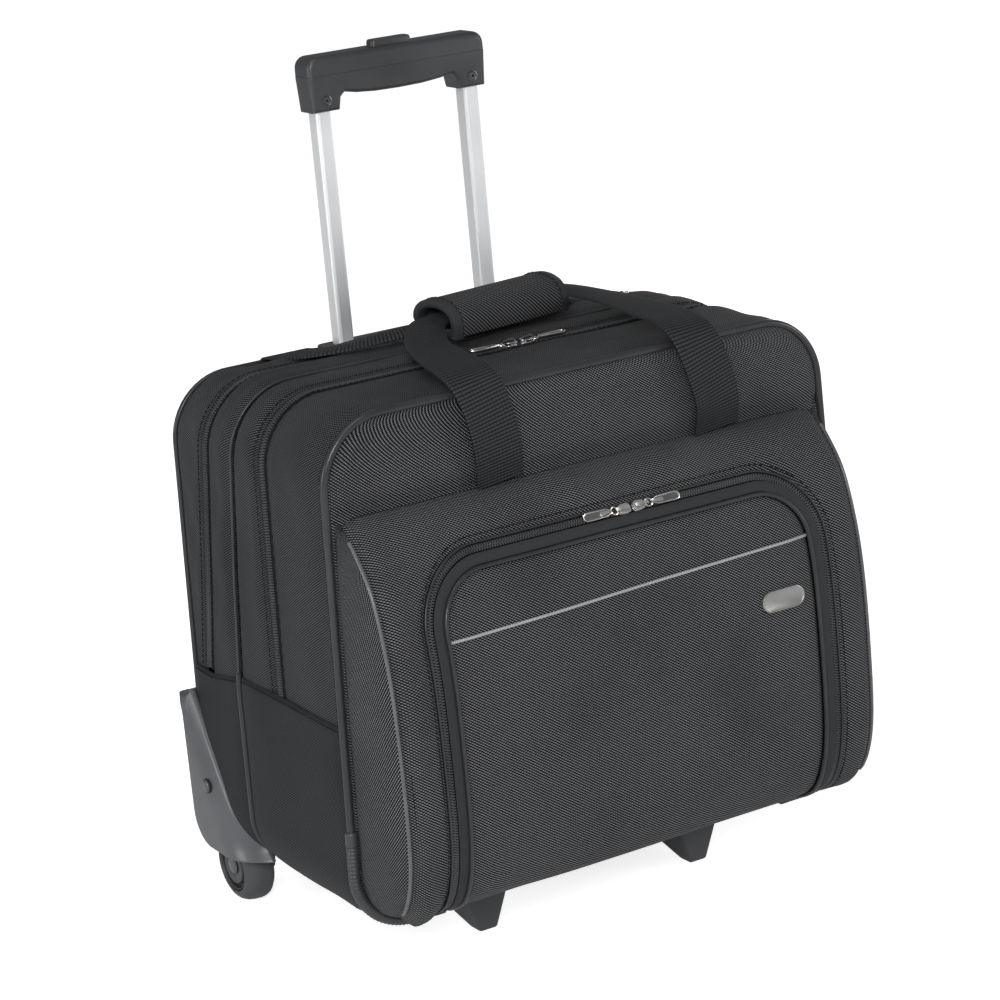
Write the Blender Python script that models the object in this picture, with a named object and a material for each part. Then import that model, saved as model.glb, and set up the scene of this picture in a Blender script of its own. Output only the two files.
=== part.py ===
"""Rolling laptop case: a soft case with a tilting front cover, a fold-down front pocket flap, a two-stage
trolley handle with a release button, two wheels in moulded guards, two feet and a pair of carry handles.

Metres, +Z up, the case faces -Y. The origin is on the ground, under the middle of the whole object.
"""

import math

import bmesh
import bpy
from mathutils import Vector

# Depths are counted back from the front panel's plane. The object reaches from FRONT_REACH in front of it to
# GUARD_BACK behind it, and FRONT_Y is that plane in the object's own frame, whose origin is halfway.
FRONT_REACH = 0.0640
GUARD_BACK = 0.2550
FRONT_Y = (FRONT_REACH - GUARD_BACK) / 2

# Case body.
CASE_HALF_WIDTH = 0.2128
CASE_TAPER = 0.0292
CASE_BOTTOM = 0.047
CASE_TOP = 0.4165
CASE_MIDDLE = (CASE_BOTTOM + CASE_TOP) / 2
TOP_RADIUS = 0.048
BOTTOM_RADIUS = 0.043
REAR_START = 0.165
REAR_DEPTH = 0.2475
REAR_DROP = 0.010
REAR_NARROWING = 0.018
WALL = 0.003
GAP = 0.0003
SEAM_Z = 0.200
LID_DEPTH = 0.0912
DIVIDER_DEPTH = 0.157
REAR_ZIP_DEPTH = 0.2163
PANEL = 0.003
ARC_STEPS = 6

# Front pocket.
POCKET_HALF_WIDTH = 0.200
POCKET_INSET = 0.0026
POCKET_CURVE = (
    (0.0003, 0.3490), (0.0220, 0.3300), (0.0420, 0.3000), (0.0555, 0.2450),
    (0.0595, 0.1750), (0.0570, 0.1080), (0.0420, 0.0690), (0.0160, 0.0530), (0.0003, 0.0490),
)
FLAP_HALF_WIDTH = 0.1615
FLAP_BOTTOM = 0.0660
FLAP_TOP = 0.3115
FLAP_RADIUS = 0.046
FLAP_PIVOT = (0.0365, 0.0635)
MOUTH_DROP = 0.0030

# Wheels, guards and feet.
WHEEL_RADIUS = 0.030
WHEEL_X = 0.2025
WHEEL_DEPTH = 0.2175
WHEEL_WIDTH = 0.0240
AXLE_RADIUS = 0.004
GUARD_INNER_X = 0.2190
GUARD_OUTER_X = 0.2265
WELL_TOP = 0.0690
FOOT_X = 0.0945
FOOT_DEPTH = 0.036

# Trolley: three nested rectangular tubes on each side, (x size, y size).
TUBE_X = 0.064
TUBE_DEPTH = 0.232
TUBE_WALL = 0.001
INNER_TUBE = (0.0125, 0.0150)
MIDDLE_TUBE = (0.0151, 0.0176)
OUTER_TUBE = (0.0177, 0.0202)
COLLAR_BOTTOM = 0.4098
COLLAR_TOP = 0.4124
GRIP_HALF_WIDTH = 0.0760
GRIP_BOTTOM = 0.590
GRIP_PARTING = 0.617
GRIP_TOP = 0.6310
GRIP_HALF_DEPTH = 0.0125
BUTTON_TOP = 0.6355
BUTTON_HALF = (0.0168, 0.0055)

# Zip pulls: how far the pull's hinge is from the middle of its slider.
PULL_ROOT = 0.0058

# Carry handles.
WEBBING_WIDTH = 0.038
WEBBING = 0.002

FINISHES = {
    "ballistic_nylon": ((0.028, 0.028, 0.031), 0.72, 0.0),
    "plain_nylon": ((0.034, 0.034, 0.037), 0.80, 0.0),
    "webbing": ((0.026, 0.026, 0.028), 0.75, 0.0),
    "piping": ((0.055, 0.056, 0.060), 0.38, 0.0),
    "guard_plastic": ((0.150, 0.155, 0.165), 0.45, 0.0),
    "black_plastic": ((0.022, 0.022, 0.024), 0.42, 0.0),
    "tyre": ((0.030, 0.030, 0.032), 0.70, 0.0),
    "aluminium": ((0.72, 0.73, 0.74), 0.32, 1.0),
    "nickel": ((0.62, 0.62, 0.61), 0.25, 1.0),
    "steel": ((0.45, 0.45, 0.46), 0.35, 1.0),
    "lining": ((0.080, 0.082, 0.088), 0.85, 0.0),
}


def Y(depth):
    return FRONT_Y + depth


# ------------------------------------------------------------------ objects

def clear_scene():
    for thing in list(bpy.data.objects):
        bpy.data.objects.remove(thing)


def pivot(name, place, parent=None):
    """An empty on a joint's axis. place is in world coordinates."""
    empty = bpy.data.objects.new(name, None)
    empty.empty_display_size = 0.02
    bpy.context.scene.collection.objects.link(empty)
    empty.parent = parent
    empty["place"] = place
    above = Vector(parent["place"]) if parent else Vector()
    empty.location = Vector(place) - above
    return empty


def add_object(name, mesh_data, finish, parent=None, smooth_angle=35):
    """Link a bmesh given in world coordinates as an object whose origin lies on its parent's pivot."""
    bmesh.ops.recalc_face_normals(mesh_data, faces=mesh_data.faces)
    if parent:
        bmesh.ops.translate(mesh_data, verts=mesh_data.verts, vec=-Vector(parent["place"]))
    mesh = bpy.data.meshes.new(name)
    mesh_data.to_mesh(mesh)
    mesh_data.free()
    mesh.shade_smooth()
    mesh.set_sharp_from_angle(angle=math.radians(smooth_angle))
    thing = bpy.data.objects.new(name, mesh)
    thing.parent = parent
    bpy.context.scene.collection.objects.link(thing)
    if finish:
        mesh.materials.append(make_material(name, *FINISHES[finish]))
    return thing


def make_material(name, colour, roughness, metallic):
    material = bpy.data.materials.new(name + "_finish")
    material.use_nodes = True
    shader = material.node_tree.nodes["Principled BSDF"]
    shader.inputs["Base Color"].default_value = (*colour, 1.0)
    shader.inputs["Roughness"].default_value = roughness
    shader.inputs["Metallic"].default_value = metallic
    material.diffuse_color = (*colour, 1.0)
    return material


def combine(thing, other, operation):
    """Boolean with a helper object, which is left out of the model."""
    other.hide_render = True
    other.display_type = "WIRE"
    modifier = thing.modifiers.new(operation.title() + " " + other.name, "BOOLEAN")
    modifier.operation = operation
    modifier.object = other
    return thing


# ------------------------------------------------------------------ shapes

def prism(points, axis, start, end):
    """A flat outline pushed along an axis. The outline's two coordinates are the other two axes in order."""
    made = bmesh.new()
    ends = []
    for along in (start, end):
        corners = []
        for first, second in points:
            place = [first, second]
            place.insert(axis, along)
            corners.append(made.verts.new(place))
        ends.append(corners)
    join_rings(made, ends, closed_rings=True)
    made.faces.new(ends[0])
    made.faces.new(reversed(ends[-1]))
    return made


def join_rings(made, rings, closed_rings, closed_path=False):
    """Bridge successive rings of vertices with quads."""
    count = len(rings[0])
    last = count if closed_rings else count - 1
    pairs = list(zip(rings, rings[1:]))
    if closed_path:
        pairs.append((rings[-1], rings[0]))
    for near, far in pairs:
        for i in range(last):
            j = (i + 1) % count
            made.faces.new((near[i], near[j], far[j], far[i]))


def box(low, high):
    outline = ((low[0], low[1]), (high[0], low[1]), (high[0], high[1]), (low[0], high[1]))
    return prism(outline, 2, low[2], high[2])


def rounded_box(low, high, radius, segments=2):
    made = box(low, high)
    bmesh.ops.bevel(made, geom=made.edges[:], offset=radius, segments=segments, profile=0.5, affect="EDGES")
    return made


def arc(centre, radius, start, end, steps=ARC_STEPS):
    """Points on an arc, angles in degrees, in the plane's own two coordinates."""
    found = []
    for step in range(steps + 1):
        angle = math.radians(start + (end - start) * step / steps)
        found.append((centre[0] + radius * math.cos(angle), centre[1] + radius * math.sin(angle)))
    return found


def rounded_rectangle(left, right, bottom, top, radius, steps=ARC_STEPS):
    return (
        arc((left + radius, bottom + radius), radius, 180, 270, steps)
        + arc((right - radius, bottom + radius), radius, 270, 360, steps)
        + arc((right - radius, top - radius), radius, 0, 90, steps)
        + arc((left + radius, top - radius), radius, 90, 180, steps)
    )


def smooth_curve(points, steps):
    """Catmull-Rom curve through the points, of any number of coordinates."""
    whole = [Vector(p) for p in points]
    padded = [whole[0] * 2 - whole[1]] + whole + [whole[-1] * 2 - whole[-2]]
    found = []
    for i in range(1, len(padded) - 2):
        a, b, c, d = padded[i - 1:i + 3]
        for step in range(steps):
            t = step / steps
            found.append(0.5 * (2 * b + (c - a) * t + (2 * a - 5 * b + 4 * c - d) * t * t
                                + (3 * b - a - 3 * c + d) * t ** 3))
    found.append(whole[-1])
    return found


def turned(profile, centre, axis, steps=24):
    """A solid turned about an axis through centre. The profile is (along, radius); radius 0 makes a pole."""
    made = bmesh.new()
    rings = []
    side = [Vector(), Vector()]
    side[0][(axis + 1) % 3] = 1
    side[1][(axis + 2) % 3] = 1
    for along, radius in profile:
        middle = Vector(centre)
        middle[axis] += along
        if radius == 0:
            rings.append([made.verts.new(middle)])
            continue
        ring = []
        for step in range(steps):
            angle = math.tau * step / steps
            ring.append(made.verts.new(middle + radius * (side[0] * math.cos(angle) + side[1] * math.sin(angle))))
        rings.append(ring)
    hollow = profile[0][1] != 0
    pairs = list(zip(rings, rings[1:])) + ([(rings[-1], rings[0])] if hollow else [])
    for near, far in pairs:
        for i in range(steps):
            j = (i + 1) % steps
            corners = [near[0]] if len(near) == 1 else [near[i], near[j]]
            corners += [far[0]] if len(far) == 1 else [far[j], far[i]]
            made.faces.new(corners)
    return made


def swept(path, section, normal, closed=False, widths=None):
    """A section (side, normal) carried along a path of points. widths scales the section's sideways size."""
    made = bmesh.new()
    rings = []
    count = len(path)
    for i, point in enumerate(path):
        before = path[(i - 1) % count] if closed or i else point
        after = path[(i + 1) % count] if closed or i < count - 1 else point
        tangent = (Vector(after) - Vector(before)).normalized()
        side = tangent.cross(normal).normalized()
        up = side.cross(tangent)
        scale = widths[i] if widths else 1
        rings.append([made.verts.new(Vector(point) + side * u * scale + up * v) for u, v in section])
    join_rings(made, rings, closed_rings=True, closed_path=closed)
    if not closed:
        made.faces.new(rings[0])
        made.faces.new(reversed(rings[-1]))
    return made


def round_section(radius, sides=8):
    return [(radius * math.cos(math.tau * i / sides), radius * math.sin(math.tau * i / sides)) for i in range(sides)]


# ------------------------------------------------------------------ case outline

def shaped(point, depth):
    """The case narrows upwards, and its top drops and its sides draw in towards the rear."""
    x, z = point
    back = min(max((depth - REAR_START) / (REAR_DEPTH - REAR_START), 0), 1)
    x *= 1 - CASE_TAPER * (z - CASE_MIDDLE) / CASE_HALF_WIDTH
    x *= 1 - REAR_NARROWING * back
    high = min(max((z - SEAM_Z) / (CASE_TOP - SEAM_Z), 0), 1)
    return (x, z - REAR_DROP * back * high)


def lower_outline(inset, depth):
    half = CASE_HALF_WIDTH - inset
    bottom = CASE_BOTTOM + inset
    radius = BOTTOM_RADIUS - inset
    points = (
        [(-half, SEAM_Z)]
        + arc((-half + radius, bottom + radius), radius, 180, 270)
        + arc((half - radius, bottom + radius), radius, 270, 360)
        + [(half, SEAM_Z)]
    )
    return [shaped(p, depth) for p in points]


def upper_outline(inset, depth, start_z=SEAM_Z):
    half = CASE_HALF_WIDTH - inset
    top = CASE_TOP - inset
    radius = TOP_RADIUS - inset
    points = (
        [(half, start_z)]
        + arc((half - radius, top - radius), radius, 0, 90)
        + arc((-half + radius, top - radius), radius, 90, 180)
        + [(-half, start_z)]
    )
    return [shaped(p, depth) for p in points]


def whole_outline(inset, depth):
    return lower_outline(inset, depth) + upper_outline(inset, depth)[1:-1]


def gusset(outline, start, end, closed):
    """A fabric wall WALL thick that follows an outline between two depths."""
    made = bmesh.new()
    edges = []
    for inset, depth in ((0, start), (0, end), (WALL, end), (WALL, start)):
        edges.append([made.verts.new((x, Y(depth), z)) for x, z in outline(inset, depth)])
    join_rings(made, edges, closed_rings=closed, closed_path=True)
    if not closed:
        made.faces.new([row[0] for row in edges])
        made.faces.new([row[-1] for row in reversed(edges)])
    return made


def plate(inset, start, end):
    """A flat board of the case's outline."""
    made = bmesh.new()
    ends = [[made.verts.new((x, Y(depth), z)) for x, z in whole_outline(inset, depth)] for depth in (start, end)]
    join_rings(made, ends, closed_rings=True)
    made.faces.new(ends[0])
    made.faces.new(reversed(ends[1]))
    return made


# ------------------------------------------------------------------ case body

def make_case_body():
    wells = [make_well_cutter(side) for side in (-1, 1)]
    tube_holes = [make_tube_hole(side) for side in (-1, 1)]
    add_object("main_gusset", gusset(whole_outline, LID_DEPTH + GAP, DIVIDER_DEPTH - GAP / 2, True),
               "ballistic_nylon")
    middle = add_object("middle_gusset",
                        gusset(whole_outline, DIVIDER_DEPTH + GAP / 2, REAR_ZIP_DEPTH - GAP / 2, True),
                        "ballistic_nylon")
    rear = add_object("rear_gusset",
                      gusset(whole_outline, REAR_ZIP_DEPTH + GAP / 2, REAR_DEPTH - PANEL - GAP, True),
                      "ballistic_nylon")
    back = add_object("back_panel", plate(0, REAR_DEPTH - PANEL, REAR_DEPTH), "ballistic_nylon")
    floor = box((-0.1785, Y(REAR_ZIP_DEPTH - 0.002), CASE_BOTTOM),
                (0.1785, Y(REAR_DEPTH - PANEL - GAP), CASE_BOTTOM + WALL))
    combine(middle, add_object("rear_floor", floor, None), "UNION")
    foot_room = box((-0.300, Y(0.1780), -0.010), (0.300, Y(0.2445), WELL_TOP))
    combine(rear, add_object("rear_gusset_end_cutter", foot_room, None), "DIFFERENCE")
    for well in wells:
        for wall in (middle, back):
            combine(wall, well, "DIFFERENCE")
    for hole in tube_holes:
        combine(rear, hole, "DIFFERENCE")
    add_object("lower_gusset", gusset(lower_outline, PANEL + GAP, LID_DEPTH, False), "plain_nylon")
    add_object("divider_panel", plate(0.007, DIVIDER_DEPTH - PANEL / 2, DIVIDER_DEPTH + PANEL / 2), "lining")
    board_low = (-0.170, Y(0.0038), CASE_BOTTOM + WALL + GAP)
    board_high = (0.170, Y(0.2430), CASE_BOTTOM + WALL + GAP + PANEL)
    add_object("base_board", rounded_box(board_low, board_high, 0.0008, 1), "black_plastic")
    piping_radius = 0.0022
    loop = [(x, Y(DIVIDER_DEPTH), z) for x, z in whole_outline(-piping_radius - GAP, DIVIDER_DEPTH)]
    add_object("divider_piping", swept(loop, round_section(piping_radius, 6), Vector((0, 1, 0)), closed=True),
               "piping")


def make_well_cutter(side):
    outer, inner = side * 0.235, side * 0.1795
    made = box((min(outer, inner), Y(0.1780), -0.010), (max(outer, inner), Y(0.2700), WELL_TOP))
    return add_object(side_name("wheel_well_cutter", side), made, None)


def make_tube_hole(side):
    half = [size / 2 + 0.0006 for size in OUTER_TUBE]
    middle = side * TUBE_X
    made = box((middle - half[0], Y(TUBE_DEPTH) - half[1], 0.380), (middle + half[0], Y(TUBE_DEPTH) + half[1], 0.430))
    return add_object(side_name("tube_hole_cutter", side), made, None)


def side_name(name, side):
    return name + ("_left" if side < 0 else "_right")


# ------------------------------------------------------------------ front cover and pocket

def make_front_cover(lid):
    add_object("lid_gusset",
               gusset(lambda inset, depth: upper_outline(inset, depth, SEAM_Z + GAP), PANEL + GAP, LID_DEPTH, False),
               "ballistic_nylon", lid)
    add_object("front_panel", plate(0, 0, PANEL), "ballistic_nylon", lid)
    piping_radius = 0.0025
    loop = [(x, Y(PANEL / 2), z) for x, z in whole_outline(-piping_radius - GAP, 0)]
    add_object("front_piping", swept(loop, round_section(piping_radius), Vector((0, 1, 0)), closed=True),
               "piping", lid)
    for side in (-1, 1):
        make_corner_protector(side, lid, piping_radius)
        make_front_strap(side, lid)
        make_pocket_piping(side, lid)
    make_pocket(lid)
    make_organiser(lid)


def make_corner_protector(side, lid, piping_radius):
    """A C-shaped sleeve round the piping at a bottom corner, open towards the panel."""
    outline = lower_outline(-piping_radius - GAP, 0)
    corner = [p for p in outline if p[0] * side > 0][:-1] if side > 0 else outline[1:ARC_STEPS + 2]
    flat_end = (side * 0.145, corner[0][1] if side > 0 else corner[-1][1])
    low_high = 0.122
    rise = corner[-1] if side > 0 else corner[0]
    high_end = (rise[0] * 1.0, low_high)
    route = [flat_end] + corner + [high_end] if side > 0 else [high_end] + corner + [flat_end]
    path = [(x, Y(PANEL / 2), z) for x, z in route]
    inner, outer = piping_radius + GAP, piping_radius + 0.0018
    opening = 75
    section = arc((0, 0), outer, opening, 360 - opening, 10) + arc((0, 0), inner, 360 - opening, opening, 10)
    add_object(side_name("corner_protector", side), swept(path, section, Vector((0, 1, 0))), "black_plastic", lid)


def make_front_strap(side, lid):
    middle = -0.0825 if side < 0 else 0.1105
    low = (middle - WEBBING_WIDTH / 2, Y(-WEBBING - GAP), 0.3515)
    high = (middle + WEBBING_WIDTH / 2, Y(-GAP), 0.4150)
    add_object(side_name("front_strap", side), rounded_box(low, high, 0.0005, 1), "webbing", lid)


def pocket_outline(inset):
    """The pocket's (y, z) outline, from the top seam round the front to the bottom."""
    curve = smooth_curve([(depth, z, 0) for depth, z in POCKET_CURVE], 3)
    found = []
    for i, point in enumerate(curve):
        before, after = curve[max(i - 1, 0)], curve[min(i + 1, len(curve) - 1)]
        along = (after - before).normalized()
        inwards = Vector((along.y, -along.x, 0))
        moved = point + inwards * inset
        found.append((moved.x, moved.y))
    return found


def pocket_depth(height):
    """How far the pocket's outer surface stands in front of the panel at a height."""
    outline = pocket_outline(0)
    for (near_depth, near_z), (far_depth, far_z) in zip(outline, outline[1:]):
        if far_z <= height <= near_z:
            share = (near_z - height) / (near_z - far_z)
            return near_depth + (far_depth - near_depth) * share
    return 0


def pocket_slope(height):
    """Unit vector down the pocket's surface at a height."""
    step = 0.004
    rise = pocket_depth(height - step) - pocket_depth(height + step)
    return Vector((0, -rise, -2 * step)).normalized()


def pocket_solid(inset, side_inset, back):
    outline = [(Y(-depth), z) for depth, z in pocket_outline(inset)]
    outline = [(min(y, Y(back)), z) for y, z in outline]
    closing = [(Y(back), outline[-1][1]), (Y(back), outline[0][1])] if back > 0 else []
    half = POCKET_HALF_WIDTH - side_inset
    return prism(outline + closing, 0, -half, half)


def outline_prism(inset):
    """The case's outline pushed forward past the pocket, which rounds the pocket's lower corners."""
    return prism(whole_outline(inset, 0), 1, Y(-0.090), Y(0.020))


def flap_outline(grow, drop=0):
    half = FLAP_HALF_WIDTH + grow
    radius = FLAP_RADIUS + grow
    bottom = FLAP_BOTTOM - grow - drop
    top = FLAP_TOP + grow
    return (
        [(-half, bottom), (half, bottom)]
        + arc((half - radius, top - radius), radius, 0, 90)
        + arc((-half + radius, top - radius), radius, 90, 180)
    )


def make_pocket(lid):
    shell = add_object("pocket_shell", pocket_solid(0, 0, -GAP), "ballistic_nylon", lid)
    border = add_object("pocket_border", outline_prism(POCKET_INSET), None, lid)
    combine(shell, border, "INTERSECT")
    hollow = add_object("pocket_hollow_cutter", pocket_solid(WALL, WALL, 0.010), None, lid)
    inner_border = add_object("pocket_inner_border", outline_prism(POCKET_INSET + WALL), None, lid)
    combine(hollow, inner_border, "INTERSECT")
    combine(shell, hollow, "DIFFERENCE")
    opening = prism(flap_outline(0.0005, MOUTH_DROP), 1, Y(-0.090), Y(-0.020))
    mouth = add_object("pocket_mouth_cutter", opening, None, lid)
    combine(shell, mouth, "DIFFERENCE")


def make_flap(flap):
    """The fold-down panel of the pocket. It fills the pocket's mouth and turns about its bottom edge."""
    front = add_object("front_flap", pocket_solid(0, 0, -GAP), "ballistic_nylon", flap)
    hollow = add_object("flap_hollow_cutter", pocket_solid(WALL, -0.010, 0.010), None, flap)
    combine(front, hollow, "DIFFERENCE")
    border = add_object("flap_border", prism(flap_outline(0), 1, Y(-0.090), Y(-0.020)), None, flap)
    combine(front, border, "INTERSECT")
    radius = 0.0018
    rail = [p for p in flap_outline(-0.0075) if p[1] > FLAP_BOTTOM + 0.02]
    half = rail[0][0]
    route = [(half, 0.080)] + [(half, 0.10 + 0.032 * i) for i in range(5)] + rail
    route += [(-half, 0.10 + 0.032 * (4 - i)) for i in range(5)] + [(-half, 0.080)]
    path = [(x, Y(-pocket_depth(z) - radius - GAP * 3), z) for x, z in route]
    add_object("flap_piping", swept(path, round_section(radius, 6), Vector((0, -1, 0))), "piping", flap)
    make_badge(flap)


def make_badge(flap):
    """A plain pill-shaped metal plate."""
    height, centre_x, half, radius, thick = 0.2280, 0.1215, 0.0110, 0.0080, 0.0022
    slope = pocket_slope(height)
    outwards = slope.cross(Vector((1, 0, 0)))
    outline = arc((half, 0), radius, -90, 90) + arc((-half, 0), radius, 90, 270)
    made = bmesh.new()
    base = Vector((centre_x, Y(-pocket_depth(height)), height)) + outwards * 0.0006
    ends = []
    for level, shrink in ((0, 1), (thick * 0.6, 1), (thick, 0.94)):
        ends.append([made.verts.new(base + Vector((x * shrink, 0, 0)) - slope * z * shrink + outwards * level)
                     for x, z in outline])
    join_rings(made, ends, closed_rings=True)
    made.faces.new(ends[0])
    made.faces.new(reversed(ends[-1]))
    add_object("badge", made, "nickel", flap)


def make_pocket_piping(side, lid):
    """Thin piping on the edge between the pocket's front and its side gusset."""
    radius = 0.0018
    heights = [0.330 - 0.0225 * i for i in range(12)]
    path = []
    for height in heights:
        slope = pocket_slope(height)
        outwards = slope.cross(Vector((1, 0, 0)))
        base = Vector((side * (POCKET_HALF_WIDTH + 0.0008), Y(-pocket_depth(height)), height))
        path.append(base + outwards * (radius + 2 * GAP) + Vector((side * 0.0004, 0, 0)))
    add_object(side_name("pocket_piping", side), swept(path, round_section(radius, 6), Vector((1, 0, 0))),
               "piping", lid)


def make_organiser(lid):
    """Stepped card and pen pockets on the inside wall of the front pocket."""
    steps = ((0.0035, 0.0740), (0.0115, 0.0740), (0.0115, 0.1700), (0.0085, 0.1700),
             (0.0085, 0.2300), (0.0060, 0.2300), (0.0060, 0.2950), (0.0035, 0.2950))
    outline = [(Y(-depth), z) for depth, z in steps]
    add_object("organiser_panel", prism(outline, 0, -0.150, 0.150), "lining", lid)


# ------------------------------------------------------------------ wheels, guards, feet

def make_wheel_unit(side, wheel):
    guard = make_guard(side)
    axle_hole = turned([(-0.030, 0), (-0.030, AXLE_RADIUS + GAP), (0.030, AXLE_RADIUS + GAP), (0.030, 0)],
                       (side * 0.185, Y(WHEEL_DEPTH), WHEEL_RADIUS), 0, 16)
    combine(guard, add_object(side_name("axle_hole_cutter", side), axle_hole, None), "DIFFERENCE")
    rivet_place = (side * GUARD_OUTER_X, Y(0.2235), 0.0930)
    rivet_hole = turned([(-0.006, 0), (-0.006, 0.0031), (0.006, 0.0031), (0.006, 0)], rivet_place, 0, 12)
    combine(guard, add_object(side_name("rivet_hole_cutter", side), rivet_hole, None), "DIFFERENCE")
    dome = [(0.0003, 0), (0.0003, 0.0056), (0.0011, 0.0054), (0.0019, 0.0040), (0.0022, 0)]
    shank = [(-0.0040, 0), (-0.0040, 0.0028), (0.0003, 0.0028), (0.0003, 0.0056)]
    profile = [(side * a, r) for a, r in shank + dome[2:]]
    add_object(side_name("guard_rivet", side), turned(profile, rivet_place, 0, 16), "guard_plastic")

    centre = (side * WHEEL_X, Y(WHEEL_DEPTH), WHEEL_RADIUS)
    half, core = WHEEL_WIDTH / 2, 0.0195
    tread = [(-half, core + GAP), (-half, WHEEL_RADIUS - 0.005), (-half + 0.002, WHEEL_RADIUS - 0.0015),
             (-half + 0.0055, WHEEL_RADIUS), (half - 0.0055, WHEEL_RADIUS),
             (half - 0.002, WHEEL_RADIUS - 0.0015), (half, WHEEL_RADIUS - 0.005), (half, core + GAP)]
    add_object(side_name("tyre", side), turned(tread, centre, 0, 28), "tyre", wheel)
    bore, recess = AXLE_RADIUS + GAP, 0.0088
    out = side * half
    hub = [(-out * 0.92, bore), (-out * 0.92, 0.0115), (-out * 0.80, core - 0.002), (-out * 0.80, core),
           (out * 0.86, core), (out * 0.90, core - 0.002), (out * 0.90, 0.0125), (out * 0.76, 0.0118),
           (out * 0.76, recess), (out * 0.62, recess), (out * 0.62, bore)]
    add_object(side_name("wheel_hub", side), turned(hub, centre, 0, 24), "black_plastic", wheel)
    head, inner = side * (WHEEL_X + half * 0.62 + GAP), side * 0.1812
    axle = [(inner, 0), (inner, AXLE_RADIUS), (head, AXLE_RADIUS), (head, 0.0068),
            (head + side * 0.0022, 0.0062), (head + side * 0.0022, 0)]
    add_object(side_name("wheel_axle", side), turned(axle, (0, Y(WHEEL_DEPTH), WHEEL_RADIUS), 0, 16), "steel")


def make_guard(side):
    """The moulded guard: a sloping side plate, a skid at the back corner, an arch over the wheel and an axle leg."""
    corner, low = 0.024, 0.0465
    back = GUARD_BACK
    outline = [(Y(0.1630), low), (Y(back - 0.0090), 0.1655), (Y(back - 0.0055), 0.1672),
               (Y(back - 0.0015), 0.1640), (Y(back), 0.1560)] + arc((Y(back - corner), low + corner), corner, 0, -90)
    guard = add_object(side_name("wheel_guard", side),
                       prism(outline, 0, *sorted((side * GUARD_INNER_X, side * GUARD_OUTER_X))), "guard_plastic")
    near = REAR_DEPTH + GAP
    skid_outline = [(Y(near), 0.0600), (Y(back), 0.0700), (Y(back), 0.1560), (Y(near), 0.1630)]
    wheel_centre = (Y(WHEEL_DEPTH), WHEEL_RADIUS)
    arch_outline = arc(wheel_centre, WHEEL_RADIUS + 0.0070, 28, 152, 14)
    hollow_outline = arc(wheel_centre, WHEEL_RADIUS + 0.0040, 0, 360, 24)[:-1]
    leg_outline = [(Y(0.2030), 0.0500), (Y(0.2100), 0.0200), (Y(0.2250), 0.0200), (Y(0.2320), 0.0500)]
    for name, shape, ends in (("guard_skid", skid_outline, (0.1900, GUARD_INNER_X + 0.002)),
                              ("guard_arch", arch_outline, (0.1800, GUARD_INNER_X + 0.001)),
                              ("guard_leg", leg_outline, (0.1800, 0.1868))):
        piece = prism(shape, 0, *sorted(side * x for x in ends))
        combine(guard, add_object(side_name(name, side), piece, None), "UNION")
    hollow = prism(hollow_outline, 0, *sorted((side * 0.1868, side * (GUARD_INNER_X - 0.0008))))
    return combine(guard, add_object(side_name("wheel_space_cutter", side), hollow, None), "DIFFERENCE")


def make_foot(side):
    """A wedge with a small flat contact at the front and an underside that slopes up towards the back."""
    top = CASE_BOTTOM - GAP
    corners = ((0.0075, 0.0000, 0.000), (0.0075, 0.0130, 0.000), (0.0160, 0.0420, 0.016),
               (0.0225, 0.0480, top), (0.0225, -0.0050, top))
    made = bmesh.new()
    for half, back, z in corners:
        for turn in (-1, 1):
            made.verts.new((side * FOOT_X + turn * half, Y(FOOT_DEPTH + back), z))
    bmesh.ops.convex_hull(made, input=made.verts)
    bmesh.ops.bevel(made, geom=[e for e in made.edges if e.calc_face_angle(0) > 0.3], offset=0.0015, segments=1,
                    profile=0.5, affect="EDGES")
    add_object(side_name("foot", side), made, "black_plastic")


# ------------------------------------------------------------------ trolley

def tube(side, size, bottom, top):
    """A rectangular tube with rounded edges, open at both ends."""
    made = bmesh.new()
    rings = []
    for shrink, z in ((0, bottom), (0, top), (TUBE_WALL, top), (TUBE_WALL, bottom)):
        half = [s / 2 - shrink for s in size]
        loop = rounded_rectangle(side * TUBE_X - half[0], side * TUBE_X + half[0],
                                 Y(TUBE_DEPTH) - half[1], Y(TUBE_DEPTH) + half[1], 0.0022 - shrink * 0.6, 2)
        rings.append([made.verts.new((x, y, z)) for x, y in loop])
    join_rings(made, rings, closed_rings=True, closed_path=True)
    return made


def make_trolley(middle, inner, button):
    for side in (-1, 1):
        add_object(side_name("outer_tube", side), tube(side, OUTER_TUBE, 0.0590, 0.4088), "aluminium")
        add_object(side_name("middle_tube", side), tube(side, MIDDLE_TUBE, 0.0620, 0.4060), "aluminium", middle)
        add_object(side_name("inner_tube", side), tube(side, INNER_TUBE, 0.2500, 0.6045), "aluminium", inner)
        rod = turned([(0.2600, 0), (0.2600, 0.0022), (0.6105, 0.0022), (0.6105, 0)], (side * TUBE_X, Y(TUBE_DEPTH), 0),
                     2, 8)
        add_object(side_name("push_rod", side), rod, "steel", button)
    bracket_low = (-0.080, Y(0.2245), CASE_BOTTOM + WALL + PANEL + 3 * GAP)
    bracket_high = (0.080, Y(0.2415), 0.0587)
    add_object("trolley_bracket", rounded_box(bracket_low, bracket_high, 0.001, 1), "black_plastic")
    make_collar()
    make_grip(inner)
    make_button(button)


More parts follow.
